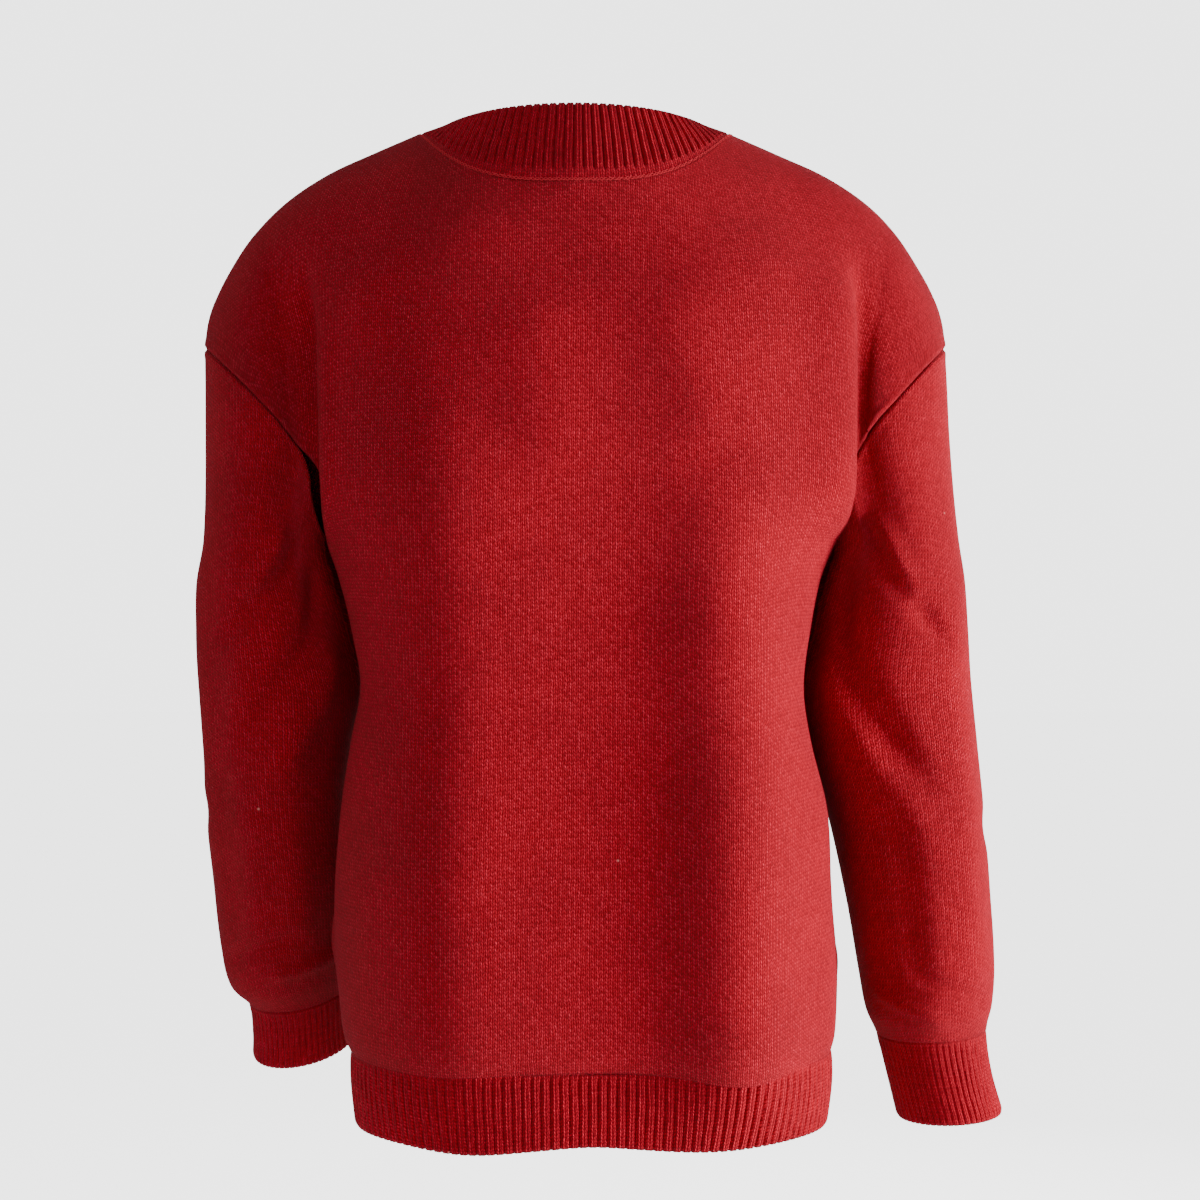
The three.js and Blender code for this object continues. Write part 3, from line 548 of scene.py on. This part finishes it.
# ------------------------------------------------------------------ materials
class Nodes:
    """Short hand for building a node tree."""

    def __init__(self, tree):
        self.tree = tree

    def add(self, kind, **values):
        node = self.tree.nodes.new(kind)
        for key, value in values.items():
            setattr(node, key, value)
        return node

    def put(self, value, socket):
        if isinstance(value, bpy.types.NodeSocket):
            self.tree.links.new(value, socket)
        else:
            socket.default_value = value

    def math(self, operation, *inputs):
        node = self.add("ShaderNodeMath", operation=operation)
        for socket, value in zip(node.inputs, inputs):
            self.put(value, socket)
        return node.outputs[0]

    def ramp(self, value, low, high, low_out=0.0, high_out=1.0):
        node = self.add("ShaderNodeMapRange", interpolation_type="SMOOTHSTEP")
        for socket, item in zip(node.inputs, (value, low, high, low_out, high_out)):
            self.put(item, socket)
        return node.outputs[0]

    def mix_colour(self, factor, a, b, blend="MIX"):
        node = self.add("ShaderNodeMix", data_type="RGBA", blend_type=blend)
        self.put(factor, node.inputs["Factor"])
        self.put(a, [s for s in node.inputs if s.name == "A" and s.type == "RGBA"][0])
        self.put(b, [s for s in node.inputs if s.name == "B" and s.type == "RGBA"][0])
        return [s for s in node.outputs if s.type == "RGBA"][0]

    def noise(self, vector, scale, detail=2.0, roughness=0.5):
        node = self.add("ShaderNodeTexNoise")
        self.put(vector, node.inputs["Vector"])
        node.inputs["Scale"].default_value = scale
        node.inputs["Detail"].default_value = detail
        node.inputs["Roughness"].default_value = roughness
        return node.outputs["Fac"]


def stitch_group():
    """Height of knit stitches. Stitch: u in wales, v in courses. With a the distance from
    the wale's middle, a leg is a ridge 1-(4a-1)^2, and fract(v-1.5a) cuts it into slanted
    lengths of yarn, so each wale is a stack of V shapes. The second leg of each V lies
    lower. Twill is a faint diagonal, Chance a value of its own for each stitch."""
    tree = bpy.data.node_groups.new("knit_stitches", "ShaderNodeTree")
    for name, kind in (("Stitch", "Vector"), ("Place", "Vector"), ("Wander", "Float")):
        tree.interface.new_socket(name, in_out="INPUT", socket_type="NodeSocket" + kind)
    for name in ("Height", "Twill", "Chance"):
        tree.interface.new_socket(name, in_out="OUTPUT", socket_type="NodeSocketFloat")
    n = Nodes(tree)
    inp = n.add("NodeGroupInput")
    out = n.add("NodeGroupOutput")
    split = n.add("ShaderNodeSeparateXYZ")
    n.put(inp.outputs["Stitch"], split.inputs[0])

    def wandering(value, scale):
        """The value moved by noise, as hand and wool leave uneven stitches."""
        sway = n.math("SUBTRACT", n.noise(inp.outputs["Place"], scale), 0.5)
        return n.math("ADD", value, n.math("MULTIPLY", sway, inp.outputs["Wander"]))

    def hump(value, gain, power):
        """1 - |gain * value - 1|^power."""
        off = n.math("ABSOLUTE", n.math("SUBTRACT", n.math("MULTIPLY", value, gain), 1.0))
        return n.math("SUBTRACT", 1.0, n.math("POWER", off, power))

    u = wandering(split.outputs[0], 140.0)
    v = wandering(split.outputs[1], 210.0)
    across = n.math("FRACT", u)
    a = n.math("ABSOLUTE", n.math("SUBTRACT", across, 0.5))
    second = n.math("GREATER_THAN", across, 0.5)
    leg = n.math("MULTIPLY", hump(a, 4.0, 2.0), n.math("MULTIPLY_ADD", second, -0.4, 1.1))
    along_leg = n.math("FRACT", n.math("SUBTRACT", v, n.math("MULTIPLY", a, 1.5)))
    cut = n.math("MULTIPLY_ADD", hump(along_leg, 2.0, 2.4), 0.8, 0.2)
    rounded = n.math("POWER", n.math("MAXIMUM", leg, 0.0), 0.8)
    n.put(n.math("MULTIPLY", rounded, cut), out.inputs["Height"])

    one_way = n.math("COSINE", n.math("MULTIPLY", n.math("ADD", u, v), math.pi))
    other_way = n.math("COSINE", n.math("MULTIPLY", n.math("SUBTRACT", u, v), math.pi))
    twill = n.math("ADD", n.math("MULTIPLY", one_way, 0.8), n.math("MULTIPLY", other_way, 0.2))
    n.put(twill, out.inputs["Twill"])

    cell = n.add("ShaderNodeCombineXYZ")
    n.put(n.math("FLOOR", u), cell.inputs[0])
    n.put(n.math("FLOOR", v), cell.inputs[1])
    chance = n.add("ShaderNodeTexWhiteNoise", noise_dimensions="2D")
    n.put(cell.outputs[0], chance.inputs["Vector"])
    n.put(chance.outputs["Value"], out.inputs["Chance"])
    return tree


STITCHES = stitch_group()


def knit_material(name, deep, base, crest_highlight, twill_share, chance_share, bump, wander):
    """Wool knit: stitch relief, painted shade in the stitch gaps, painted highlights on the
    crests that follow the stitches and chance, uneven dye and a few pale flecks."""
    material = bpy.data.materials.new(name)
    material.use_nodes = True
    tree = material.node_tree
    tree.nodes.clear()
    n = Nodes(tree)
    out = n.add("ShaderNodeOutputMaterial")
    shader = n.add("ShaderNodeBsdfPrincipled")
    place = n.add("ShaderNodeTexCoord").outputs["Object"]
    uv = n.add("ShaderNodeUVMap", uv_map="stitches")
    group = n.add("ShaderNodeGroup", node_tree=STITCHES)
    n.put(uv.outputs[0], group.inputs["Stitch"])
    n.put(place, group.inputs["Place"])
    group.inputs["Wander"].default_value = wander
    height, twill, chance = (group.outputs[k] for k in ("Height", "Twill", "Chance"))

    # Each stitch stands up more or less: by the diagonal, by chance and by the wool.
    middle = 0.85 - chance_share / 2
    stand = n.math("MULTIPLY_ADD", chance, chance_share, middle)
    stand = n.math("MULTIPLY_ADD", twill, twill_share, stand)
    grain = n.noise(place, 520.0, 3.0, 0.7)
    stand = n.math("MULTIPLY", stand, n.ramp(grain, 0.3, 0.7, 0.72, 1.28))
    lift = n.math("MULTIPLY", height, stand)
    # Painted shade and highlight: the low stitch gaps take the dark colour, the high crests the pale one.
    colour = n.mix_colour(n.ramp(lift, 0.08, 0.75), deep, base)
    colour = n.mix_colour(n.ramp(lift, 0.62, 1.25), colour, crest_highlight)

    # Uneven dye.
    uneven = n.ramp(n.noise(place, 16.0, 3.0, 0.55), 0.3, 0.7, 0.93, 1.07)
    grey = n.add("ShaderNodeCombineColor")
    for socket in grey.inputs[:3]:
        n.put(uneven, socket)
    colour = n.mix_colour(1.0, colour, grey.outputs[0], "MULTIPLY")

    # Pale flecks: the middles of the few cells that chance picks.
    cells = n.add("ShaderNodeTexVoronoi", feature="F1")
    n.put(place, cells.inputs["Vector"])
    cells.inputs["Scale"].default_value = 38.0
    pick = n.add("ShaderNodeSeparateColor")
    n.put(cells.outputs["Color"], pick.inputs[0])
    fleck = n.ramp(cells.outputs["Distance"], 0.05, 0.025)
    fleck = n.math("MULTIPLY", fleck, n.math("GREATER_THAN", pick.outputs[0], 0.94))
    colour = n.mix_colour(n.math("MULTIPLY", fleck, 0.7), colour, (0.75, 0.25, 0.22, 1))
    n.put(colour, shader.inputs["Base Color"])

    shader.inputs["Roughness"].default_value = 0.9
    shader.inputs["Specular IOR Level"].default_value = 0.12
    shader.inputs["Sheen Weight"].default_value = 0.06
    shader.inputs["Sheen Roughness"].default_value = 0.5
    shader.inputs["Sheen Tint"].default_value = (1.0, 0.25, 0.3, 1)
    fuzz = n.noise(place, 1300.0, 3.0, 0.7)
    bumped = n.add("ShaderNodeBump")
    bumped.inputs["Strength"].default_value = 1.0
    bumped.inputs["Distance"].default_value = bump
    n.put(n.math("ADD", lift, n.math("MULTIPLY", fuzz, 0.4)), bumped.inputs["Height"])
    n.put(bumped.outputs[0], shader.inputs["Normal"])
    n.put(shader.outputs[0], out.inputs["Surface"])
    return material


def plain_material(name, colour, roughness, coat=0.0):
    material = bpy.data.materials.new(name)
    material.use_nodes = True
    shader = material.node_tree.nodes["Principled BSDF"]
    shader.inputs["Base Color"].default_value = colour
    shader.inputs["Roughness"].default_value = roughness
    shader.inputs["Coat Weight"].default_value = coat
    return material


# The deep colours are painted shade for the stitch gaps, the pale top colours painted highlights for the
# crests.
KNIT = knit_material(
    "plain_knit", deep=(0.17, 0.0006, 0.004, 1), base=(0.44, 0.0012, 0.014, 1),
    crest_highlight=(0.68, 0.022, 0.05, 1), twill_share=0.15, chance_share=0.5, bump=0.0010, wander=0.7)
RIB = knit_material(
    "rib_knit", deep=(0.15, 0.0006, 0.004, 1), base=(0.40, 0.0012, 0.013, 1),
    crest_highlight=(0.58, 0.014, 0.035, 1), twill_share=0.0, chance_share=0.45, bump=0.0006, wander=0.6)
YARN = plain_material("linking_yarn", (0.46, 0.004, 0.016, 1), 0.9)
BUTTON = plain_material("button_resin", (0.17, 0.003, 0.008, 1), 0.36, 0.15)
THREAD = plain_material("button_thread", (0.33, 0.006, 0.015, 1), 0.8)


def dress(obj, material, slot, *nodes):
    """Gives a piece its material and body, and where it stands for a node, hides that node's own part. The
    slot is not used.
    """
    obj.data.materials.clear()
    obj.data.materials.append(material)
    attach(obj, "root")
    if nodes:
        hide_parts(*nodes)


# ------------------------------------------------------------------ cloth pieces
def stitch_uv(p, from_column):
    """Stitch coordinates: wales counted along each row from a column, courses up it."""
    run = arc(p, 1)
    run = run - run[:, from_column:from_column + 1]
    return np.stack([run / WALE, arc(p, 0) / COURSE], -1)


def plain_surface(p, closed, outward, folds, rims):
    """Base grid moved along its normals by folds, rim rolls and a faint unevenness. The
    rims are (roll, ridge) for the bottom, the top, the first and the last column."""
    height = folds
    for distance, (roll, ridge) in zip(rim_distance(p, closed), rims):
        height = height + roll_rim(distance, roll, 1.1, ridge)
    height = height + 0.5 * noise(p[..., 0] / 26, p[..., 2] / 34, 7)
    moved = p + grid_normals(p, closed, outward) * height[..., None]
    return moved, grid_normals(moved, closed, outward)


def even_columns(p, count):
    """Each row taken again at equal steps of its own length."""
    rows = []
    for row in p:
        length = arc(row[None], 1)[0]
        at = np.linspace(0, length[-1], count)
        rows.append(np.stack([np.interp(at, length, row[:, k]) for k in range(3)], -1))
    return np.array(rows)


def whole_back(points, count, t):
    """Left and right half of a back piece in one grid, from the left side seam."""
    c = np.linspace(0, 1, count // 2 + 1)
    left = points(1, 1, c, t, 0.0)
    right = points(-1, 1, c, t, 0.0)
    return np.concatenate([left, right[:, -2::-1]], 1)


def build_back():
    cols, rows = 224, 240
    p = whole_back(half_panel, cols, np.linspace(0, 1, rows + 1))
    folds = panel_folds(p[..., 0], p[..., 2], BACK_FOLDS) + drawn_in(p[..., 2])
    rims = [(0.2, 0), (0.8, 0.2), (1.4, 0.4), (1.4, 0.4)]
    p, normals = plain_surface(p, False, 1, folds, rims)
    obj = shell("back_panel", p, normals, WALL, stitch_uv(p, cols // 2))
    dress(obj, KNIT, "knit", "back")


def build_front(side, name):
    cols, rows = 112, 240
    p = half_panel(side, -1, np.linspace(0, 1, cols + 1), np.linspace(0, 1, rows + 1), FRONT_EDGE)
    folds = panel_folds(p[..., 0], p[..., 2], FRONT_FOLDS) + drawn_in(p[..., 2])
    rims = [(0.2, 0), (0.8, 0.2), (1.4, 0.4), (0.8, 0)]
    p, normals = plain_surface(p, False, -side, folds, rims)
    obj = shell(name + "_panel", p, normals, WALL, stitch_uv(p, cols))
    dress(obj, KNIT, "knit", name)


def build_sleeve(name):
    spec = SLEEVES[name]
    cols, rows = 152, 196
    share = np.arange(cols) / cols
    down = np.linspace(0, 1, rows + 1)
    p = sleeve_points(spec, share, down)
    turn = 2 * np.pi * share[None] + 0 * down[:, None]
    folds = sleeve_folds(turn, p[..., 2], SLEEVE_FOLDS[name])
    rims = [(1.4, 0.4), (0.2, 0), (0, 0), (0, 0)]
    p, normals = plain_surface(p, True, -spec["side"], folds, rims)
    run = share[None] * round(ARM_ROUND / WALE) + 0 * down[:, None]
    uv = np.stack([run, -arc(p, 0) / COURSE], -1)
    obj = shell("sleeve_" + name + "_cloth", p, normals, WALL, uv, closed=True)
    dress(obj, KNIT, "knit", "sleeve_" + name)


# ------------------------------------------------------------------ ribbed pieces
HEM_EDGES = dict(bottom=1.2, top=0.2, first=0.8, last=0.8)
CUFF_EDGES = dict(bottom=0.2, top=1.0)
NECK_EDGES = dict(bottom=0.5, top=1.6, first=1.0, last=1.0)
BAND_EDGES = dict(bottom=1.2, top=1.2, first=1.0, last=1.0)
HEM_DEPTH, CUFF_DEPTH, NECK_DEPTH, BAND_DEPTH = 1.7, 1.2, 2.0, 1.1
# Columns of points for each rib.
PER_RIB = 8
PER_WIDE_RIB = 10


def rib_profile(u):
    """Height of a one-by-one rib at the rib coordinate u: the knit wale stands up as a
    flat-topped ridge about the middle, the purl wale between is a narrow valley."""
    a = np.abs(u - np.floor(u) - 0.5) * 2
    ridge = 1 - ease((a - 0.55) / 0.42)
    dip = 0.2 * bell(a / 0.25)
    return ridge - dip


def rib_piece(name, p, closed, outward, u, depth, edges, wall, joins=None, fade=1.0):
    """Shell with ribs: the profile times the rib depth along the normals, faded where
    fade is 0 and towards the edge that joins plain knit, and rolled in at its edges."""
    normals = grid_normals(p, closed, outward)
    distances = dict(zip(("bottom", "top", "first", "last"), rim_distance(p, closed)))
    sway = 0.05 * noise(p[..., 2] / 9 + 7 * np.floor(u), u / 3, 3)
    height = depth * (rib_profile(u + sway) - 0.7) * fade
    height = height * ease(distances[joins] / 6.0 + 0.05) if joins else height
    for key, roll in edges.items():
        height = height + roll_rim(distances[key], roll, 1.5)
    moved = p + normals * height[..., None]
    # Two wales to a rib, with the knit one in the middle.
    uv = np.stack([u * 2 - 0.5, arc(p, 0) / COURSE], -1)
    return shell(name, moved, normals, wall, uv, closed=closed)


def build_hem_back():
    ribs = 72
    t = np.linspace(0, 1, 23)
    p = even_columns(whole_back(rib_points, ribs * PER_RIB, t), ribs * PER_RIB + 1)
    wave = sum(height * bell((p[..., 0] - x) / width) for x, width, height in HEM_WAVES)
    p[..., 2] += wave * (1 - t[:, None]) ** 1.5
    folds = panel_folds(p[..., 0], p[..., 2], BACK_FOLDS) + drawn_in(p[..., 2])
    p = p + grid_normals(p, False, 1) * folds[..., None]
    u = np.arange(p.shape[1])[None] / PER_RIB + 0 * t[:, None]
    obj = rib_piece("hem_rib_back_cloth", p, False, 1, u, HEM_DEPTH, HEM_EDGES, RIB_WALL, "top")
    dress(obj, RIB, "rib_knit", "hem_rib_back")


def build_hem_front(side, node):
    ribs = 36
    c = np.linspace(0, 1, ribs * PER_RIB + 1)
    t = np.linspace(0, 1, 23)
    p = even_columns(rib_points(side, -1, c, t, FRONT_EDGE), ribs * PER_RIB + 1)
    p = p + grid_normals(p, False, -side) * drawn_in(p[..., 2])[..., None]
    u = np.arange(p.shape[1])[None] / PER_RIB + 0 * t[:, None]
    obj = rib_piece(node + "_cloth", p, False, -side, u, HEM_DEPTH, HEM_EDGES, RIB_WALL, "top")
    dress(obj, RIB, "rib_knit", node)


def build_cuff(name):
    spec = SLEEVES[name]
    ribs = 54
    share = np.arange(ribs * PER_RIB) / (ribs * PER_RIB)
    down = np.linspace(0, 1, 25)
    p = cuff_points(spec, share, down)
    u = np.arange(ribs * PER_RIB)[None] / PER_RIB + 0 * down[:, None]
    node = "cuff_" + name
    obj = rib_piece(node + "_cloth", p, True, -spec["side"], u, CUFF_DEPTH, CUFF_EDGES, RIB_WALL, "bottom")
    dress(obj, RIB, "rib_knit", node)


def neck_curves(count):
    """Lower and upper edge of the neckband at equal steps of the lower edge's length,
    from the left front round the back to the right front, and that length."""
    place = np.linspace(0, 1, 400)
    half, side_z = NECK_TOP["half"], NECK_TOP["side_z"]
    end = math.acos(FRONT_EDGE / half)

    def top_front(side, q):
        out = half * np.cos(end * q)
        past = past_bands(out, half)
        y = -NECK_TOP["front"] * np.sqrt(1 - past * past)
        z = mix(NECK_TOP["front_z"], side_z, past ** TOP_RISE)
        return np.stack([side * out, y, z], -1)

    def low(side, face, q, middle):
        out, z = neck_seam(face, q, middle)
        return np.stack([side * out, upper_depth(side, face, out, z), z], -1)

    def taken(curve):
        return np.stack([np.interp(at, length, curve[:, k]) for k in range(3)], -1)

    left, right = place[place <= 0.5], place[place > 0.5]
    back_low = np.concatenate([low(1, 1, 2 * left, 0.0), low(-1, 1, 2 - 2 * right, 0.0)])
    s = np.sin(np.pi * place)
    back_top = np.stack([half * np.cos(np.pi * place), NECK_TOP["back"] * s,
                         mix(side_z, NECK_TOP["back_z"], s)], -1)
    lower = np.concatenate([low(1, -1, place[::-1], FRONT_EDGE), back_low[1:],
                            low(-1, -1, place, FRONT_EDGE)[1:]])
    upper = np.concatenate([top_front(1, place[::-1]), back_top[1:], top_front(-1, place)[1:]])
    length = arc(lower[None], 1)[0]
    at = np.linspace(0, length[-1], count)
    return taken(lower), taken(upper), length[-1]


def build_neckband():
    _, _, length = neck_curves(2)
    ribs = round(length / NECK_RIB_PITCH)
    lower, upper, _ = neck_curves(ribs * PER_WIDE_RIB + 1)
    t = np.linspace(0, 1, 31)[:, None]
    p = lower[None] * (1 - t[..., None]) + upper[None] * t[..., None]
    away = upper * np.array([1, 1, 0])
    away /= np.linalg.norm(away, axis=1, keepdims=True)
    belly = BELLY * np.sin(np.pi * t)[..., None]
    p = p + away[None] * belly * 0.6 + np.array([0, 0, 0.8]) * belly
    u = np.arange(p.shape[1])[None] / PER_WIDE_RIB + 0 * t
    plain_foot = ease((t - 0.12) / 0.06)
    obj = rib_piece("neckband_cloth", p, False, 1, u, NECK_DEPTH, NECK_EDGES, NECK_WALL, fade=plain_foot)
    dress(obj, RIB, "rib_knit", "neckband")


def build_linking_seam():
    """Chain of linking stitches along the neck seam: two yarns that cross, a sine each."""
    pitch, swing, radius = 5.4, 0.9, 0.34
    lower, upper, _ = neck_curves(1400)
    direction = upper - lower
    direction /= np.linalg.norm(direction, axis=1, keepdims=True)
    along_it = np.gradient(lower, axis=0)
    along_it /= np.linalg.norm(along_it, axis=1, keepdims=True)
    normal = np.cross(along_it, direction)
    s = arc(lower[None], 1)[0]
    for k, phase in enumerate((0.0, math.pi)):
        wave = swing * np.sin(2 * np.pi * s / pitch + phase + 0.8 * noise(s / 11, 0 * s, 5 + k))
        lift = 0.1 + 0.25 * np.cos(4 * np.pi * s / pitch + phase)
        path = lower + direction * (0.2 + wave)[:, None] + normal * lift[:, None]
        dress(tube("linking_chain_%d" % (k + 1), path, radius), YARN, "rib_knit")


# ------------------------------------------------------------------ button bands
def front_line():
    """Height line of both button bands: the hem rib, the front's edge, the neckband."""
    edge = np.array([1.0])
    low = rib_points(1, -1, edge, np.linspace(0, 1, 20), BAND_HALF)[:, 0]
    mid = half_panel(1, -1, edge, np.linspace(0, 1, 400), BAND_HALF)[:, 0]
    lower, upper, _ = neck_curves(200)
    t = np.linspace(0, 1, 30)[:, None]
    belly = BELLY * np.sin(np.pi * t)
    neck = lower[0] * (1 - t) + upper[0] * t + belly * np.array([0, -0.6, 0.8])
    line = np.concatenate([low[:-1], mid[:-1], neck])
    return even_columns(line[None], 301)[0]


def build_band(node, right_x, outset, ribs):
    """Band from its left edge to right_x: the front line carried across, moved outset
    out along its normals."""
    line = front_line()
    x = np.linspace(BAND_HALF, right_x, ribs * PER_WIDE_RIB + 1)
    size = (len(line), len(x))
    p = np.stack([np.broadcast_to(x, size), np.broadcast_to(line[:, 1:2], size),
                  np.broadcast_to(line[:, 2:3], size)], -1)
    p = p + grid_normals(p, False, -1) * outset
    u = np.arange(len(x))[None] / PER_WIDE_RIB + 0 * line[:, :1]
    obj = rib_piece(node + "_cloth", p, False, -1, u, BAND_DEPTH, BAND_EDGES, WALL)
    dress(obj, RIB, "rib_knit", node)


def build_buttons():
    """The solids' own buttons, with two threads across the holes of each: a thread bows
    out by sqrt(1 - s^4) between its holes."""
    upright_height = 18.2
    hole_off = 1.63
    for k in range(1, 8):
        name = "button_%d" % k
        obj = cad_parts[name]
        obj.data.materials.clear()
        obj.data.materials.append(BUTTON)
        low, high = (np.array(v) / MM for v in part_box(name))
        middle = (low + high) / 2
        # Only the top one, on the neckband, leans back: its box is lower by the cosine.
        tilt = math.acos(min(1.0, (high[2] - low[2]) / upright_height)) if k == 1 else 0.0
        up = np.array([0, math.sin(tilt), math.cos(tilt)])
        out = np.array([0, -math.cos(tilt), math.sin(tilt)])
        s = np.linspace(-1, 1, 15)
        bow = 1.2 * np.sqrt(np.maximum(0, 1 - (s / 1.05) ** 4))
        for j, x in enumerate((-hole_off, hole_off)):
            path = middle + np.array([x, 0, 0]) + up * (s * hole_off)[:, None] + out * (0.9 + bow)[:, None]
            dress(tube("button_thread_%d_%d" % (k, j + 1), path, 0.42), THREAD, "button")


build_back()
build_front(1, "front_left")
build_front(-1, "front_right")
build_sleeve("left")
build_sleeve("right")
build_hem_back()
build_hem_front(1, "hem_rib_front_left")
build_hem_front(-1, "hem_rib_front_right")
build_cuff("left")
build_cuff("right")
build_neckband()
build_linking_seam()
build_band("button_band_left", -BAND_HALF, 0.0, 6)
build_band("button_band_right", -BAND_HALF - BAND_LAP, WALL + LAP_GAP, 7)
build_buttons()


# ------------------------------------------------------------------ floor, light, camera
FLOOR_Z = -1.3
FLOOR_SEEN = 2.72
WORLD_LIT, WORLD_SEEN = 0.48, 3.2
# Lamps: name, place and aim in metres, size, power.
LAMPS = [
    ("key", (-2.6, 0.62, -0.45), (0, 0, -0.4), (0.9, 1.4), 195),
    ("fill", (1.5, 2.4, 0.3), (0, 0, -0.3), (1.8, 1.8), 18),
    ("front_fill", (-0.9, -2.6, 0.4), (0, 0, -0.3), (1.8, 1.8), 40),
]


def camera_only(n, lit, seen):
    """A strength that is one value for the light it gives and another where it is seen."""
    path = n.add("ShaderNodeLightPath")
    return n.math("MULTIPLY_ADD", path.outputs["Is Camera Ray"], seen - lit, lit)


def build_floor():
    bpy.ops.mesh.primitive_plane_add(size=40, location=(0, 0, FLOOR_Z))
    floor = bpy.context.object
    floor.name = "floor"
    pale = plain_material("pale_floor", (0.86, 0.86, 0.86, 1), 0.9)
    nodes = Nodes(pale.node_tree)
    shader = pale.node_tree.nodes["Principled BSDF"]
    shader.inputs["Emission Color"].default_value = (1, 1, 1, 1)
    nodes.put(camera_only(nodes, 0.0, FLOOR_SEEN), shader.inputs["Emission Strength"])
    floor.data.materials.append(pale)


def build_world():
    world = bpy.data.worlds.new("studio")
    bpy.context.scene.world = world
    world.use_nodes = True
    nodes = Nodes(world.node_tree)
    sky = world.node_tree.nodes["Background"]
    sky.inputs["Color"].default_value = (1, 1, 1, 1)
    nodes.put(camera_only(nodes, WORLD_LIT, WORLD_SEEN), sky.inputs["Strength"])


def build_lamp(name, place, aim, size, power):
    data = bpy.data.lights.new(name, "AREA")
    data.shape = "RECTANGLE"
    data.size, data.size_y = size
    data.energy = power
    obj = bpy.data.objects.new(name, data)
    bpy.context.scene.collection.objects.link(obj)
    obj.location = place
    direction = mathutils.Vector(np.array(aim) - np.array(place))
    obj.rotation_euler = direction.to_track_quat("-Z", "Y").to_euler()


def build_camera():
    """Level camera behind the garment, looking along -Y."""
    data = bpy.data.cameras.new("camera")
    data.sensor_width = 36
    data.lens = 72.7
    camera = bpy.data.objects.new("camera", data)
    bpy.context.scene.collection.objects.link(camera)
    camera.location = (-0.0165, 1.6, -0.3036)
    camera.rotation_euler = (math.pi / 2, 0, math.pi)
    bpy.context.scene.camera = camera


build_floor()
build_world()
for lamp in LAMPS:
    build_lamp(*lamp)
build_camera()
